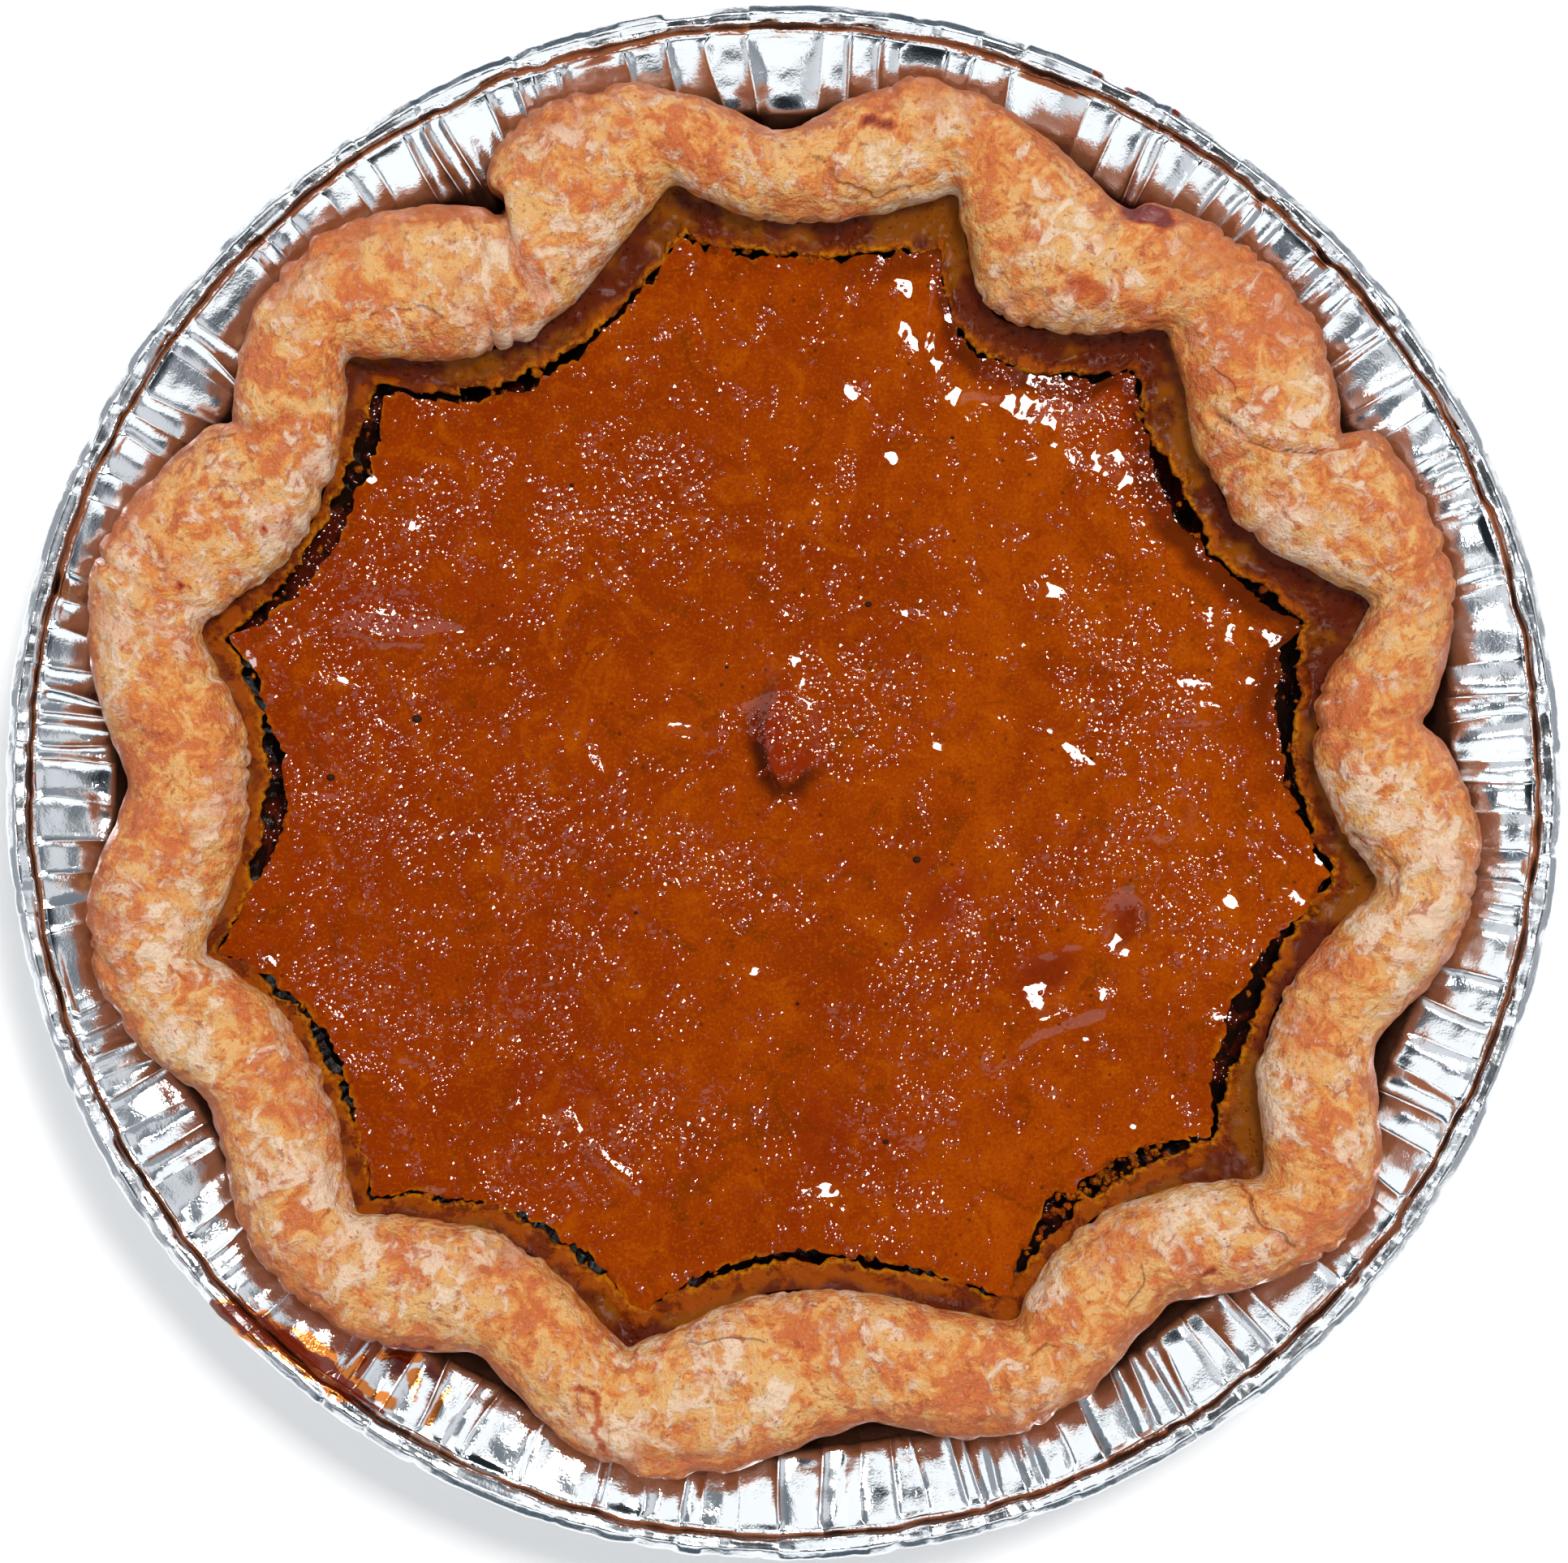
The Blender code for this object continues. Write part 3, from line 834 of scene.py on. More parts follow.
def filling_relief(plan, edge_gap):
    """Height of the filling's top over its level at plan points, in millimetres."""
    points = np.concatenate([plan, np.zeros((*plan.shape[:-1], 1))], axis=-1)
    away = reach(plan)
    relief = -0.45 * (1.0 - (away / 84.0) ** 2)
    relief += stacked(points, (0.40, 24.0, 51), (0.28, 11.5, 52))
    rough = 0.30 + 0.70 * ease(layered_lumps(points, 17.0, 53), -0.2, 0.35)
    relief += rough * stacked(points, (0.27, 6.3, 54), (0.17, 3.3, 55), (0.050, 1.7, 56))
    wander = 0.5 * lumps(points, 4.0, 57)[..., None]
    for centre, radii, turn, depth in DENTS:
        bowl = outlined(plan + wander, centre, radii, turn)
        relief -= depth * np.exp(-bowl ** 2)
    for path, height, width in RIDGES:
        gap = distance_to_path(plan + wander, path)
        relief += height * np.exp(-(gap / width) ** 2)
    across, near = fold_place(plan)
    step = ease(across, -2.4, 1.8) * np.exp(-(np.maximum(across, 0.0) / 11.0) ** 2)
    relief += FOLD_HEIGHT * step * near * ease(plan[..., 0], 9.0, 1.0)
    relief += 0.08 * np.exp(-((edge_gap - 2.0) / 2.0) ** 2)
    sunk_side = ease(np.cos(np.radians(bearing(plan) - SUNK_SIDE)), 0.62, 0.92)
    sunk_side = sunk_side * (0.55 + 0.45 * lumps(points, 8.0, 58))
    relief -= 0.62 * sunk_side * ease(edge_gap + 2.0 * lumps(points, 6.0, 59), 9.0, 3.2)
    return relief


def bubbly_at(plan):
    """Where bubbles gathered as the top baked, from 0 to 1."""
    bubbly = np.zeros(plan.shape[:-1])
    for centre, radii, turn in BUBBLY:
        bubbly = np.maximum(bubbly, np.exp(-outlined(plan, centre, radii, turn) ** 2))
    return bubbly


def edge_at(angles, edge):
    """How far out an outline is at some angles."""
    order = np.argsort(bearing(edge))
    return np.interp(angles, bearing(edge)[order], reach(edge)[order], period=360.0)


def ragged(loop, seed, amount):
    """A loop with a torn, crumbly edge."""
    around = np.column_stack([loop, np.zeros(len(loop))])
    tear = stacked(around, (1.0, 4.2, seed), (0.8, 1.7, seed + 1), (0.6, 0.8, seed + 2))
    nicks = creases(around, 3.1, seed + 3) ** 9
    return outward(loop, amount * (tear - 1.3 * nicks))


def narrowed(loop, other, share):
    """A loop moved towards another one where the two come close, so that the crack closes."""
    width = reach(other - loop)
    around = np.column_stack([filling_outline, np.zeros(len(loop))])
    closing = ease(width, 2.3, 1.1) + 0.8 * ease(lumps(around, 9.0, 91), 0.15, 0.6)
    return loop + (other - loop) * (np.minimum(closing, 1.0) * share)[:, None]


filling_torn = ragged(narrowed(filling_outline, crack_outline, 0.42), 61, EDGE_TEAR)
strip_torn = ragged(narrowed(crack_outline, filling_outline, 0.42), 161, EDGE_TEAR)


def filling_top(edge):
    """Plan points of the top's ever smaller rings, and how far they are from its edge."""
    edge_reach = reach(edge)
    widest = edge_reach.max()
    top = []
    gaps = []
    size = widest
    count = FINE_COLUMNS
    while size > LAST_RING:
        share = size / widest
        top.append(edge[::FINE_COLUMNS // count] * share)
        gaps.append(edge_reach[::FINE_COLUMNS // count] * (1.0 - share))
        if count == FINE_COLUMNS and len(top) == FINE_RINGS:
            count //= 2
        if count > FEWEST_COLUMNS and size < ALL_COLUMNS_FROM * count / COLUMNS:
            count //= 2
        size -= RING_STEP if size < 0.93 * widest else 0.5 * RING_STEP
    return top, gaps


def filling_marks(flat, edge):
    """What the filling's finish needs to know at each point, from 0 to 1."""
    plan = flat[:, :2]
    points = np.column_stack([plan, np.zeros(len(plan))])
    red = np.zeros(len(flat))
    wander = 0.9 * lumps(points, 3.0, 64)[..., None]
    for centre, radii, turn, depth in DENTS:
        bowl = outlined(plan + wander, centre, radii, turn)
        red = np.maximum(red, min(1.0, depth) * ease(bowl, 1.25, 0.5))
    across, near = fold_place(plan + 0.25 * wander)
    west = ease(plan[:, 0], 7.0, 2.0)
    red = np.maximum(red, near * west * ease(across, 4.6, 2.2) * ease(across, -0.1, 0.5))
    inward = reach(plan) - edge_at(bearing(plan), edge)
    # Painted shadow: a dark band along the filling's edge on the upper right, where the rope's shadow
    # falls
    rope_shadow = ease(inward + 1.0 * lumps(points, 5.0, 68), -4.6, -2.0)
    return {
        "reddened": red,
        # Painted shadow: a dark crescent along the low side of the fold's scarp
        "fold_shadow": near * (0.25 + 0.75 * west) * ease(across, -3.4, -0.9) * ease(across, 0.7, 0.1),
        "frothy": near * ease(across, -0.2, 0.6)
                  * ease(across + 2.5 * lumps(points, 4.0, 65), 11.0, 5.0),
        "rim": ease(inward + 0.35 * lumps(points, 1.6, 66), -0.9, -0.1),
        "rope_shadow": rope_shadow * ease(np.cos(np.radians(bearing(plan) - SUNK_SIDE)), 0.66, 0.92),
        # Painted shade: the crack's walls darken to near black with depth
        "deep": ease(flat[:, 2], FILLING_LEVEL - 0.7, FILLING_LEVEL - 2.6),
        "bubbly": bubbly_at(plan),
    }


def make_filling(material):
    """The filling: its hidden base, its torn side and its uneven top in ever smaller rings."""
    edge = filling_torn
    facing = edge / reach(edge)[:, None]
    rings = [ring(facing * radius, FILLING_FLOOR + rise) for radius, rise in FILLING_FOOT]
    rings.append(ring(outward(crack_outline, 1.5), CRACK_FLOOR))
    for share in (1.0, 0.6, 0.3, 0.1):
        height = FILLING_LEVEL - 0.4 - share * (FILLING_LEVEL - 0.4 - CRACK_FLOOR)
        rough_wall = 0.2 * lumps(ring(edge, height * 1.7), 2.0, 63)
        rings.append(ring(outward(edge, rough_wall - 0.9 * share), height))
    for plan, gap in zip(*filling_top(edge)):
        rings.append(ring(plan, FILLING_LEVEL + filling_relief(plan, gap)))
    flat = np.concatenate(rings)
    piece = make_piece("filling_custard", flat, ring_faces(rings), material, "filling",
                       filling_marks(flat, edge))
    piece.data.set_sharp_from_angle(angle=math.radians(SHARP_EDGE))


def custard():
    """Glossy set pumpkin custard with tiny pores, dark spice specks and redder places, with painted
    shade in the crack and painted shadows at the fold and beside the rope.
    """
    finish = Finish("custard_glossy")
    clouds = finish.noise(22.0, detail=3.0, distortion=0.5)
    cloth = finish.noise(4.5, detail=5.0, roughness=0.65, distortion=0.8)
    streaks = finish.noise(9.0, detail=4.0, roughness=0.6, distortion=1.4)
    specks = finish.cells(2.4)
    choice = finish.cells(2.4, "Color")
    grain = finish.noise(0.45, detail=2.0)
    rim = finish.mark("rim")

    across_pie = finish.coordinate("X").between(-0.075, 0.075)
    orange = finish.blend(across_pie, (0.245, 0.0295, 0.0002), (0.325, 0.050, 0.0003))
    deep = (0.205, 0.022, 0.0003)
    golden = (0.42, 0.085, 0.0006)
    olive = (0.135, 0.023, 0.0002)
    red = (0.20, 0.016, 0.0010)
    spice_brown = (0.075, 0.015, 0.001)
    halo_red = (0.22, 0.016, 0.001)
    froth_red = (0.22, 0.013, 0.002)

    spots = (specks + (grain - 0.5) * 0.12).between(0.17, 0.07) * choice.between(0.45, 0.75)
    colour = finish.layered(
        orange,
        (clouds.between(0.40, 0.62) * 0.7, deep),
        (streaks.between(0.53, 0.68) * 0.42, golden),
        (streaks.between(0.44, 0.32) * 0.65, olive),
        (cloth.between(0.50, 0.66) * 0.5, deep),
        (cloth.between(0.46, 0.34) * 0.35, (0.36, 0.062, 0.001)),
        (grain.between(0.54, 0.68) * 0.5, red),
        (grain.between(0.44, 0.34) * 0.35, (0.44, 0.105, 0.001)),
        (finish.mark("reddened") * 0.8, (0.205, 0.015, 0.002)),
        # painted shadow beside the fold
        (finish.mark("fold_shadow") * 0.92, (0.030, 0.004, 0.001)),
        (rim * cloth.between(0.50, 0.58) * 0.7, (0.40, 0.105, 0.002)),
        (rim * cloth.between(0.49, 0.42) * 0.6, (0.11, 0.014, 0.001)),
        # painted shadow of the rope along the filling's edge
        (finish.mark("rope_shadow") * 0.85, (0.075, 0.010, 0.001)),
        # painted shade down in the crack
        (finish.mark("deep"), (0.012, 0.004, 0.002)),
        (spots * 0.8, spice_brown))

    regions = finish.noise(24.0, detail=2.0)
    patches = finish.noise(4.6, detail=4.0, roughness=0.6, distortion=0.6, stretch=(1.2, 0.85, 1.0))
    gathered = patches + (regions - 0.5) * 0.25 + (finish.mark("bubbly") - 0.3) * 0.20
    gathered = gathered - (across_pie - 0.6) * 0.03
    dense = gathered.between(0.485, 0.565)
    beads = finish.bubbles(2.2, 0.43, dense * 0.62 + 0.04)
    clear = beads.between(0.04, 0.0)
    bubbles = finish.bubbles(1.25, 0.48, dense * 0.82 + 0.08) * clear
    open_between = bubbles.between(0.04, 0.0) * clear
    froth_share = dense * 0.8 + 0.10 + finish.mark("frothy")
    froth = finish.bubbles(0.72, 0.50, froth_share) * open_between
    swell = finish.noise(2.2, detail=1.0) * 0.05
    domes = beads * 0.180 + bubbles * 0.112 + froth * 0.066
    colour = finish.layered(colour, (dense * 0.30, halo_red),
                            ((bubbles + froth * 0.8) * 0.5, froth_red))
    return finish.set(Base_Color=colour, Roughness=0.04, Normal=finish.relief(swell + domes),
                      Specular_IOR_Level=0.5)


def make_torn_strip(material):
    """The rough strip of filling left on the pastry, from the crack up to the rope."""
    inner = strip_torn
    outer = outward(inner_fine, 0.9)
    low = ring(outward(inner, 1.2), CRACK_FLOOR + 1.0)
    back = ring(outward(inner_fine, 1.4), CRACK_FLOOR + 1.0)
    spread = reach(outer - inner)
    rings = [low, back]
    from_lip = [np.full(FINE_COLUMNS, 9.0), np.full(FINE_COLUMNS, 9.0)]
    for share in np.linspace(1.0, 0.0, 17):
        plan = inner + (outer - inner) * share
        points = np.column_stack([plan, np.zeros(FINE_COLUMNS)])
        height = CRACK_LEVEL + (LIP_LEVEL - CRACK_LEVEL) * share ** 2
        height = height - 0.07 * spread * math.sin(math.pi * share)
        height = height + stacked(points, (0.30, 3.8, 73), (0.22, 1.6, 74))
        height = height + 0.25 * lumps(points, 0.9, 76) * (1.0 - share)
        rings.append(ring(plan, height - 0.5 * ease(share, 0.08, 0.0)))
        from_lip.append(spread * share)
    lip = rings[-1]
    for share in (0.1, 0.3, 0.6, 0.8):
        step = lip + (low - lip) * share
        rings.append(ring(outward(step[:, :2], 0.2 * lumps(step, 1.4, 75)), step[:, 2]))
        from_lip.append(np.zeros(FINE_COLUMNS))
    flat = np.concatenate(rings)
    from_lip = np.concatenate(from_lip)
    # Partly real film and partly painted shade: the dark brown film covers more of the strip,
    # reaching nearer the lip, on the upper right where the rope shades it
    shaded_upper_right = ease(np.cos(np.radians(bearing(flat[:, :2]) - 48.0)), -0.35, 0.35)
    start = 3.2 - 2.0 * shaded_upper_right + 1.2 * lumps(flat, 7.0, 77)
    film_and_shade = ease(from_lip + 0.5 * lumps(flat, 1.5, 78), start - 0.6, start + 0.9)
    lip_mark = ease(from_lip + 0.4 * lumps(flat, 1.2, 79), 1.3, 0.3)
    # Painted shade: the strip darkens to near black down in the crack
    deep = ease(flat[:, 2], CRACK_LEVEL - 0.9, CRACK_LEVEL - 2.8)
    make_piece("filling_torn_edge", flat, ring_faces(rings, looped=True), material,
               "filling_edge", marks={"film_and_shade": film_and_shade, "lip": lip_mark, "deep": deep})


def torn_custard():
    """The torn custard: orange at its ragged lip, a wet brown film up against the pastry, with
    painted shade on the upper right and down in the crack.
    """
    finish = Finish("custard_torn")
    clouds = finish.noise(4.0, detail=5.0, roughness=0.62)
    crumb = finish.noise(0.9, detail=4.0, roughness=0.65)
    film_and_shade = finish.mark("film_and_shade")
    lip = finish.mark("lip")
    orange = (0.30, 0.055, 0.001)
    red_brown = (0.15, 0.020, 0.002)
    brown_film = (0.082, 0.0092, 0.0014)
    olive = (0.20, 0.052, 0.0005)
    yellow = (0.50, 0.17, 0.001)
    patches = finish.noise(9.0, detail=3.0)
    edged = lip * patches.between(0.36, 0.52)
    colour = finish.layered(
        orange,
        (clouds.between(0.47, 0.56), red_brown),
        # dark brown film, with painted shade on the upper right
        (film_and_shade * 0.92, finish.blend(patches.between(0.46, 0.60), brown_film, olive)),
        (edged * crumb.between(0.42, 0.56) * 0.8, yellow),
        (lip * crumb.between(0.44, 0.34) * 0.8, red_brown),
        # painted shade down in the crack
        (finish.mark("deep"), (0.010, 0.004, 0.002)))
    beads = finish.bubbles(0.9, 0.45, clouds.between(0.42, 0.55) * 0.9)
    rough = crumb * (1.0 - film_and_shade * 0.85) * 0.6 + crumb * film_and_shade * 0.06
    froth = finish.relief(rough + beads * 0.22)
    return finish.set(Base_Color=colour, Roughness=0.05 + lip * 0.10, Normal=froth,
                      Specular_IOR_Level=0.08)


def ball_shape(bands, columns):
    """Corners and faces of a closed unit ball."""
    corners = [(0.0, 0.0, -1.0)]
    for band in range(1, bands):
        tilt = math.pi * band / bands - math.pi / 2.0
        for column in range(columns):
            turn = math.tau * column / columns
            corners.append((math.cos(tilt) * math.cos(turn), math.cos(tilt) * math.sin(turn),
                            math.sin(tilt)))
    corners.append((0.0, 0.0, 1.0))
    faces = []
    for column in range(columns):
        following = (column + 1) % columns
        faces.append((0, 1 + following, 1 + column))
        for band in range(bands - 2):
            low = 1 + band * columns
            high = low + columns
            faces.append((low + column, low + following, high + following, high + column))
        last = 1 + (bands - 2) * columns
        faces.append((last + column, last + following, len(corners) - 1))
    return np.array(corners), faces


GRAIN_SHAPE, GRAIN_FACES = ball_shape(5, 7)
GRAIN_STRETCH = np.array([1.15, 0.9, 0.55])

# Spice grains: x, y, radius (mm)
SPICE_GRAINS = ((12.5, 26.3, 0.5), (-54.5, 9.3, 0.7), (-67.3, 0.6, 0.6), (19.7, -11.6, 0.6),
                (15.1, -53.5, 0.45), (-8.5, 17.0, 0.3), (34.0, -20.5, 0.3), (-22.0, -19.5, 0.3),
                (45.6, 3.4, 0.3), (2.0, -33.0, 0.3), (-31.5, 44.0, 0.35), (25.0, 51.0, 0.3))

# Crumbs: how many, and the share that lie round one place, given as turns and spread
CRUMBS = 150
CRUMB_SEED = 11
CRUMBLY_SHARE = 0.45
CRUMBLY = (0.85, 0.012)


def grain_faces(count):
    """Faces of a number of grains whose corners follow one another."""
    return [tuple(grain * len(GRAIN_SHAPE) + corner for corner in face)
            for grain in range(count) for face in GRAIN_FACES]


def make_crumbs(material):
    """Loose crumbs of torn custard lying along the crack."""
    draw = np.random.default_rng(CRUMB_SEED)
    points = []
    for _ in range(CRUMBS):
        spot = int(draw.integers(FINE_COLUMNS))
        if draw.random() < CRUMBLY_SHARE:
            spot = int(FINE_COLUMNS * (draw.normal(*CRUMBLY) % 1.0))
        here = filling_torn[spot] * 0.5 + strip_torn[spot] * 0.5
        plan = outward(here[None, :], draw.normal(0.2, 0.8))[0]
        size = draw.uniform(0.25, 0.75)
        centre = np.array([plan[0], plan[1], FILLING_LEVEL - draw.uniform(0.0, 0.9)])
        stretch = draw.uniform(0.6, 1.4, 3)
        for corner in GRAIN_SHAPE:
            points.append(centre + corner * stretch * size * draw.uniform(0.5, 1.35))
    marks = {"film_and_shade": np.zeros(len(points)), "lip": draw.uniform(0.0, 1.0, len(points)),
             "deep": np.zeros(len(points))}
    make_piece("custard_crumbs", points, grain_faces(CRUMBS), material,
               marks=marks)


def make_spice_specks(material):
    """The few dark grains of spice that stand on the filling."""
    points = []
    for x, y, radius in SPICE_GRAINS:
        height = FILLING_LEVEL + filling_relief(np.array([[x, y]]), np.array([30.0]))[0]
        points += list(np.array([x, y, height]) + GRAIN_SHAPE * radius * GRAIN_STRETCH)
    make_piece("spice_specks", points, grain_faces(len(SPICE_GRAINS)), material)


def spice():
    """Nearly black, slightly glossy spice."""
    finish = Finish("spice_dark")
    colour = finish.blend(finish.noise(0.5), (0.010, 0.004, 0.002), (0.035, 0.010, 0.003))
    return finish.set(Base_Color=colour, Roughness=0.55, Specular_IOR_Level=0.1)


# ---------------------------------------------------------------- foil tin


FOIL = 0.22
WALL_FOOT = (88.6, 1.9)
WALL_TOP = (110.0, 24.4)
WALL_POINTS = (WALL_FOOT, (92.4, 9.0), (95.6, 15.6), (98.8, 19.85), (102.4, 21.4), (106.2, 22.85),
               WALL_TOP)
SHOWN_FROM = 3.0
HIDDEN_STEPS = 5
WALL_STEPS = 23
RIM_STEPS = 24
RIM_POINTS = ((110.5, 24.57), (110.9, 24.70), (111.6, 24.98), (111.76, 26.0), (111.9, 26.92),
              (112.35, 27.22), (112.9, 27.42), (113.35, 27.58), (113.75, 27.42), (114.2, 27.05),
              (114.7, 26.65), (114.98, 26.2), (114.85, 25.7), (114.6, 25.45))
FOLD_SEED = 7
FOLD_HALF_WIDTH = 0.36
PANEL_STEP = 1.15
DEGREE_AT_WALL = math.radians(108.0)

# Caramel that boiled over onto the foil: path (mm), half width (mm)
DARK_SPILLS = (
    (((-84.4, -77.4), (-82.6, -78.0)), 0.9),
    (((-82.6, -78.0), (-78.5, -80.1), (-73.7, -82.9)), 1.5),
    (((-73.7, -82.9), (-71.3, -84.4), (-66.5, -87.7), (-64.6, -89.6)), 1.1),
    (((-64.6, -89.6), (-59.3, -93.2)), 0.4),
    (((-58.6, -85.2), (-56.0, -85.4)), 0.5),
    (((45.6, 104.3), (46.4, 103.9)), 0.45),
    (((51.2, 102.4), (51.8, 101.6)), 0.5),
    (((57.2, 98.4), (57.9, 98.0)), 0.5),
)
AMBER_SPILLS = (
    (((-82.6, -78.0), (-73.7, -82.9), (-64.6, -89.6)), 2.2),
    (((-70.8, -83.6), (-67.8, -85.6)), 1.9),
    (((-59.6, -85.2), (-54.5, -85.4)), 1.1),
    (((-64.1, -87.3), (-62.7, -85.8)), 0.7),
    (((-64.0, -89.0), (-58.0, -92.0)), 0.8),
    (((-55.0, -88.0), (-54.8, -91.0)), 0.9),
    (((-52.6, -94.9), (-49.7, -90.1)), 0.6),
)


def foil_folds():
    """Angles of the pressed folds round the wall, unevenly spaced, and their own values."""
    draw = np.random.default_rng(FOLD_SEED)
    gaps = []
    while sum(gaps) < 360.0:
        gaps.append(draw.choice([draw.uniform(1.1, 2.1), draw.uniform(2.0, 3.6),
                                 draw.uniform(4.2, 6.6)], p=[0.42, 0.46, 0.12]))
    gaps = np.array(gaps) * 360.0 / sum(gaps)
    angles = np.concatenate([[0.0], np.cumsum(gaps)[:-1]])
    count = len(angles)
    return {
        "angle": angles,
        "gap": gaps,
        "height": draw.uniform(0.10, 0.42, count),
        "lean": draw.normal(0.0, 1.3, count),
        "bow": draw.normal(0.0, 0.45, count),
        "start": draw.uniform(-0.2, 0.55, count),
        "sag": draw.normal(0.35, 0.45, count),
        "tilt": draw.normal(0.0, 0.55, count),
        "roll": draw.normal(0.0, 0.11, count),
        "kink": draw.normal(0.0, 0.09, count),
        "slant": draw.uniform(-0.6, 0.6, count),
        "crease": np.maximum(draw.normal(0.0, 0.16, count), 0.0),
        "ledge": draw.uniform(-0.3, 1.3, count),
        "count": count,
    }


def foil_columns(folds):
    """Columns round the tin: several across each fold's ridge, and some across each panel."""
    near = np.array([-0.46, -0.2, 0.0, 0.2, 0.46]) / DEGREE_AT_WALL
    angles = []
    owners = []
    shares = []
    for index in range(folds["count"]):
        gap = folds["gap"][index]
        across = max(2, round(gap * DEGREE_AT_WALL / PANEL_STEP))
        panel = np.linspace(near[-1], gap + near[0], across + 2)[1:-1]
        for offset in [*near, *panel]:
            angles.append(folds["angle"][index] + offset)
            owners.append(index)
            shares.append(offset / gap)
    return np.array(angles), np.array(owners), np.array(shares)


def foil_profile():
    """Inside profile of the tin from floor to bead: radius, height, how pleated."""
    rows = [(30.0, 0.5, 0.0), (80.0, 0.5, 0.0), (86.6, 0.6, 0.0)]
    hidden = np.linspace(0.0, SHOWN_FROM, HIDDEN_STEPS, endpoint=False)
    shown = np.linspace(SHOWN_FROM, len(WALL_POINTS) - 1.0, WALL_STEPS)
    for radius, height in open_curve(np.array(WALL_POINTS), np.concatenate([hidden, shown])):
        up = (radius - WALL_FOOT[0]) / (WALL_TOP[0] - WALL_FOOT[0])
        rows.append((radius, height, min(1.0, 0.3 + 1.2 * up)))
    along = np.linspace(0.0, len(RIM_POINTS) - 1.0, RIM_STEPS)
    rows += [(radius, height, 0.4 * ease(radius, 111.8, 110.6) + 0.1)
             for radius, height in open_curve(np.array(RIM_POINTS), along)]
    return np.array(rows)


def spilled(points, spills):
    """How thickly caramel lies at points on the foil, from 0 to 1."""
    plan = points[:, :2] + 0.5 * lumps(points, 1.6, 92)[:, None]
    thickness = np.zeros(len(points))
    for path, width in spills:
        gap = distance_to_path(plan, path)
        thickness = np.maximum(thickness, ease(gap, 1.4 * width, 0.5 * width))
    return thickness * ease(points[:, 2], 16.0, 18.0)


def pressed_row(folds, columns, row, height, pleated):
    """A ring of the tin's inside, how far pressing lifts it, and if it is in step and bead."""
    angles, owners, shares = columns
    following = (owners + 1) % folds["count"]
    part = np.clip(shares, 0.0, 1.0)

    def own(key):
        """The value of the panel that each column belongs to."""
        return folds[key][owners]

    def carried(key):
        """Each panel's own value, passing evenly into the next one's."""
        return own(key) * (1.0 - part) + folds[key][following] * part

    def panelled(key):
        """Each panel's own value, changing over quickly at the folds."""
        crossing = ease(shares * own("gap") * DEGREE_AT_WALL, -0.9, 0.9)
        return folds[key][(owners - 1) % folds["count"]] * (1.0 - crossing) + own(key) * crossing

    def fold_ridge(key_height, key_start, across):
        """A fold's ridge, which starts some way up the wall."""
        risen = ease(up, key_start, key_start + 0.25)
        return key_height * risen * np.exp(-(across / FOLD_HALF_WIDTH) ** 1.3)

    up = np.clip((row - WALL_FOOT[0]) / (WALL_TOP[0] - WALL_FOOT[0]), 0.0, 1.3)
    on_rim = ease(row, 111.6, 112.2)
    along_rim = np.column_stack([polar(angles, 112.0), np.zeros(len(angles))])

    # The step under the bead wanders, and in places the bead is pressed flat over it
    ledge = panelled("ledge") + 0.5 * lumps(along_rim, 9.0, 93)
    ledge = np.clip(ledge + 0.9 * np.abs(np.cos(np.radians(angles))) - 0.5, 0.0, 1.0)
    radius = row - ledge * 0.75 * max(row - 111.6, 0.0) * ease(row, 112.9, 112.3)
    wander = stacked(along_rim, (0.22, 5.5, 89), (0.14, 2.0, 90)) + panelled("kink")
    radius = radius + ease(row, 110.3, 111.0) * ease(row, 112.6, 112.0) * wander

    # Ridges at the folds, and panels that sag, lean and crumple between them
    slide = carried("lean") * (up - 0.7) + carried("bow") * math.sin(up * 5.0)
    here = ring(polar(angles + slide * min(pleated, 1.0) / DEGREE_AT_WALL, radius), height)
    width = own("gap") * math.pi / 180.0 * radius
    lift = fold_ridge(own("height"), own("start"), np.abs(shares) * width)
    lift += fold_ridge(folds["height"][following], folds["start"][following],
                       np.abs(1.0 - shares) * width)
    lift -= own("sag") * 0.115 * width * 4.0 * part * (1.0 - part)
    lift += own("tilt") * 0.10 * width * (part - 0.5) * np.sin(math.pi * part)
    slanted = (part - 0.5 - own("slant") * (up - 0.75)) * width
    lift -= own("crease") * np.exp(-(slanted / 0.9) ** 2)
    lift += 0.26 * lumps(here / np.array([1.0, 1.0, 2.5]), 6.5, 81) + 0.10 * lumps(here, 2.6, 82)
    lift = pleated * lift + 0.22 * lumps(here, 17.0, 83) * min(1.0, pleated * 2.0)

    # The bead is squeezed unevenly, pinched, lowered over the step and rolled panel by panel
    along_rim[:, 2] = radius * 0.3
    pinch = creases(along_rim, 6.3, 84) ** 12 + 0.7 * creases(along_rim, 3.4, 87) ** 16
    lift += on_rim * (stacked(along_rim, (0.16, 4.6, 85), (0.17, 2.1, 86)) - 0.36 * pinch)
    here[:, 2] -= 0.25 * ledge * ease(row, 110.6, 111.5) * ease(row, 113.2, 111.9)
    here[:, 2] += on_rim * panelled("roll") * np.minimum(radius - 113.2, 1.4)
    return here, lift, ease(row, 110.6, 111.3) * ease(row, 112.5, 112.0), on_rim


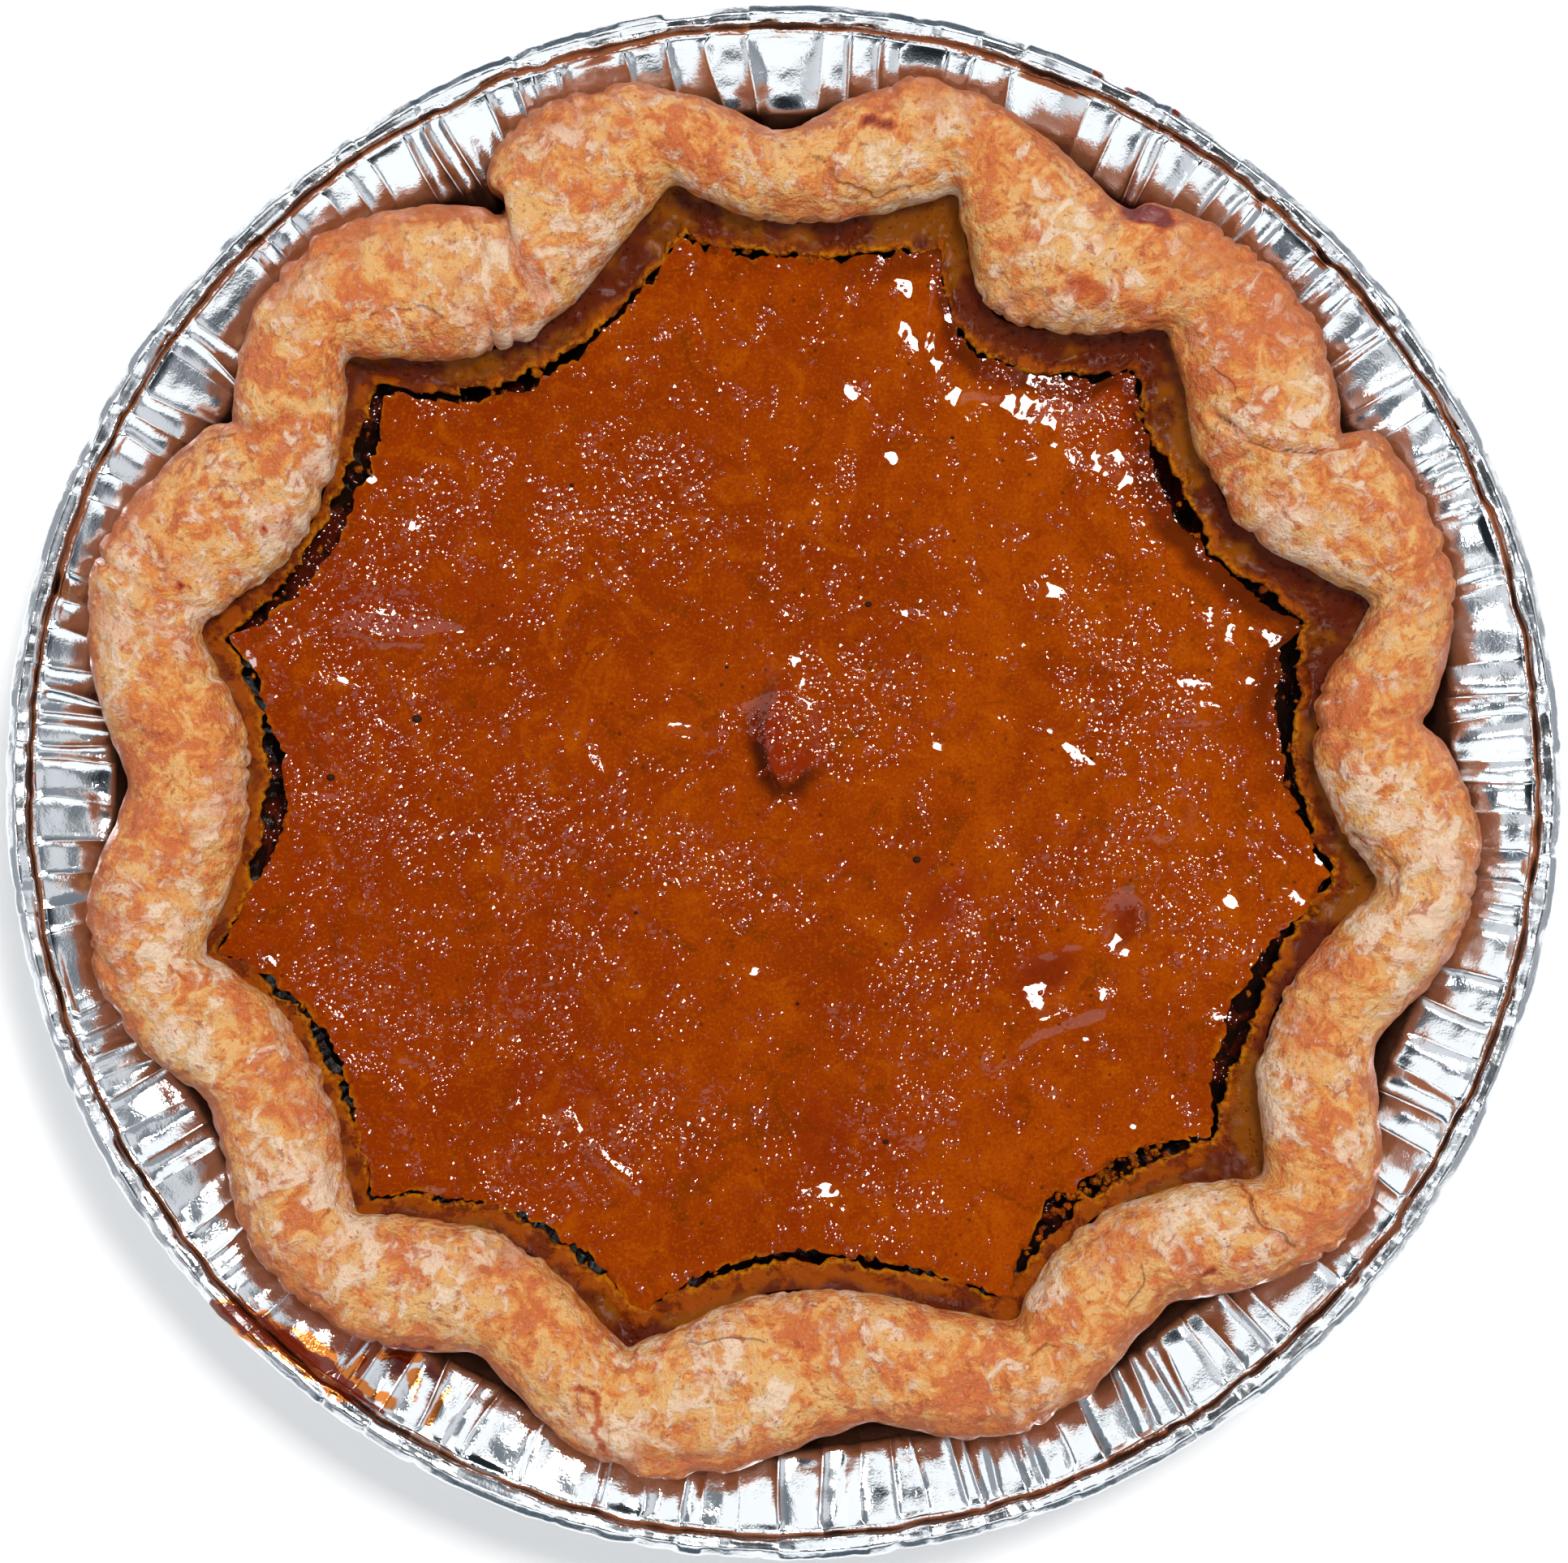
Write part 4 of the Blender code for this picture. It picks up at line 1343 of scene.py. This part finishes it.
def make_tin(material):
    """The tin: one thin skin, with every pressed row inside and every third one outside."""
    folds = foil_folds()
    columns = foil_columns(folds)
    rows = [pressed_row(folds, columns, *row) for row in foil_profile()]
    base, lifts, stepped, rolled = (np.array(values) for values in zip(*rows))
    normals = -grid_normals(base)
    inside = base + normals * lifts[..., None]
    outside = inside - normals * FOIL
    outside[:, :, 2] = np.maximum(outside[:, :, 2], 0.0)
    outside = [*outside[:5], *outside[6:-1:3], outside[-1]]
    loop = outside + list(inside[::-1])
    flat = np.concatenate(loop)

    across = len(columns[0])
    outer_side = np.zeros(len(outside) * across)
    inner_side = np.concatenate([outer_side, np.ones(len(inside) * across)])
    plan = flat[:, :2]
    from_crust = reach(plan) - edge_at(bearing(plan), rope_outer)
    shaded = ease(from_crust + 0.5 * lumps(flat, 4.0, 88), 2.6, 0.2) * ease(reach(plan), 104.0, 99.0)
    marks = {"shaded": shaded * inner_side,
             "ambered": spilled(flat, AMBER_SPILLS) * inner_side,
             "spilt": spilled(flat, DARK_SPILLS) * inner_side,
             "stepped": np.concatenate([outer_side, np.repeat(stepped[::-1], across)]),
             "rolled": np.concatenate([outer_side, np.repeat(rolled[::-1], across)])}
    make_piece("foil_pleated_tin", flat, ring_faces(loop), material, "foil_tin",
               marks=marks)


def foil():
    """Bright rolled foil, finely creased, a little duller where it was handled."""
    finish = Finish("foil_bright")
    silver = (0.82, 0.845, 0.875)
    shade = (0.11, 0.085, 0.075)
    amber = (0.74, 0.21, 0.016)
    caramel = (0.14, 0.013, 0.003)
    fine = finish.noise(1.4, detail=4.0, roughness=0.6)
    broad = finish.noise(9.0, detail=2.0)
    grain = finish.noise(0.35, detail=2.0)
    stepped = finish.mark("stepped")
    rolled = finish.mark("rolled")
    pressed = finish.noise(1.9, detail=3.0, roughness=0.6) * (stepped * 0.42 + rolled * 0.06)
    creased = finish.relief(fine * 0.038 + grain * 0.010 + pressed)
    patchy = finish.noise(1.5, detail=4.0, roughness=0.65)
    ambered = (finish.mark("ambered") * (patchy + 0.35)).between(0.25, 0.65)
    spilt = (finish.mark("spilt") * (patchy + 0.5)).between(0.35, 0.75)
    colour = finish.layered(silver, (finish.mark("shaded"), shade), (ambered * 0.95, amber),
                            (spilt, caramel))
    dulled = broad.between(0.35, 0.7) * 0.06 + rolled * 0.09 + stepped * 0.06
    return finish.set(Base_Color=colour, Metallic=1.0 - spilt, Roughness=0.06 + dulled,
                      Normal=creased)


# ---------------------------------------------------------------- stage, light and camera


FRAME_WIDTH = 231.3
CAMERA_HEIGHT = 700.0
FOCUS_UNDER_RIM = 1.6
SENSOR = 36.0
FLOOR_HALF = 3.0

# Lamps: name, azimuth, elevation, distance (m), size (m), power (W), colour
LAMPS = (("key_light", 55.0, 67.0, 2.6, (0.60, 0.60), 48.5, (1.0, 0.98, 0.95)),
         ("side_light", 190.0, 58.0, 1.3, (0.16, 0.16), 0.9, (0.96, 0.98, 1.0)))

# Large light panels round the pie: azimuth, elevation, width (m), height (m), brightness
PANELS = ((12.0, 46.0, 0.80, 0.60, 0.44), (115.0, 46.0, 1.35, 0.95, 0.95),
          (200.0, 46.0, 0.90, 0.70, 0.50), (282.0, 46.0, 1.45, 0.98, 0.98))
PANEL_DISTANCE = 1.3
PANEL_COLOUR = (0.99, 0.99, 0.98)

# The room's brightness from the level (0) to overhead (1): it is dark above the camera
SKY = ((0.38, (0.065, 0.095, 0.125)), (0.56, (0.20, 0.23, 0.26)), (0.87, (0.19, 0.21, 0.23)),
       (0.95, (0.014, 0.018, 0.022)))

# A paler glow at both sides of the room, and how far sideways it starts and is full
SIDE_GLOW = (0.36, 0.38, 0.41)
GLOW_SPREAD = (0.35, 0.85)


def make_floor():
    """A pale floor that the tin stands on."""
    finish = Finish("floor_pale")
    material = finish.set(Base_Color=(0.85, 0.85, 0.85), Roughness=0.9,
                          Emission_Color=(1.0, 1.0, 1.0), Emission_Strength=0.2)
    mesh = bpy.data.meshes.new("floor")
    corners = [(x * FLOOR_HALF, y * FLOOR_HALF, 0.0) for x, y in ((-1, -1), (1, -1), (1, 1), (-1, 1))]
    mesh.from_pydata(corners, [], [(0, 1, 2, 3)])
    mesh.materials.append(material)
    floor = bpy.data.objects.new("floor", mesh)
    bpy.context.scene.collection.objects.link(floor)


def softbox(name, azimuth, elevation, distance, size, power, colour):
    """An area light of a size (m) and power (W), aimed at the pie from a distance (m)."""
    data = bpy.data.lights.new(name, "AREA")
    data.shape = "RECTANGLE"
    data.size, data.size_y = size
    data.energy = power
    data.color = colour
    lamp = bpy.data.objects.new(name, data)
    flat = math.cos(math.radians(elevation))
    direction = Vector((flat * math.cos(math.radians(azimuth)),
                        flat * math.sin(math.radians(azimuth)),
                        math.sin(math.radians(elevation))))
    lamp.location = direction * distance
    lamp.rotation_euler = direction.to_track_quat("Z", "Y").to_euler()
    bpy.context.scene.collection.objects.link(lamp)


def make_sky():
    """The dim room that the foil and the filling mirror."""
    world = bpy.data.worlds.new("studio")
    world.use_nodes = True
    nodes = Nodes(world.node_tree)
    direction = nodes.node("ShaderNodeTexCoord", {}, {}, "Generated")
    sideways = nodes.node("ShaderNodeSeparateXYZ", {}, {0: direction}, "X")
    upward = nodes.node("ShaderNodeSeparateXYZ", {}, {0: direction}, "Z")
    sky = nodes.node("ShaderNodeValToRGB", {"stops": SKY}, {0: upward})
    glow = nodes.blend(sideways.size().between(*GLOW_SPREAD), sky, SIDE_GLOW)
    nodes.feed(world.node_tree.nodes["Background"].inputs["Color"], glow)
    bpy.context.scene.world = world


def make_studio():
    """Lights, room and picture settings."""
    for lamp in LAMPS:
        softbox(*lamp)
    for azimuth, elevation, width, height, brightness in PANELS:
        softbox(f"panel_{int(azimuth)}", azimuth, elevation, PANEL_DISTANCE, (width, height),
                brightness * math.pi * width * height, PANEL_COLOUR)
    make_sky()
    bpy.context.scene.view_settings.view_transform = "Standard"


def make_camera():
    """Straight above the pie, with the far edge of the tin at the top of the view."""
    data = bpy.data.cameras.new("camera")
    data.sensor_width = SENSOR
    data.lens = SENSOR * CAMERA_HEIGHT / FRAME_WIDTH
    camera = bpy.data.objects.new("camera", data)
    camera.location = Vector((0.0, 0.0, (RIM_HEIGHT - FOCUS_UNDER_RIM + CAMERA_HEIGHT) * MM))
    bpy.context.scene.collection.objects.link(camera)
    bpy.context.scene.camera = camera


make_crust(pastry())
make_filling(custard())
torn_finish = torn_custard()
make_torn_strip(torn_finish)
make_crumbs(torn_finish)
make_spice_specks(spice())
make_tin(foil())
make_floor()
make_studio()
make_camera()
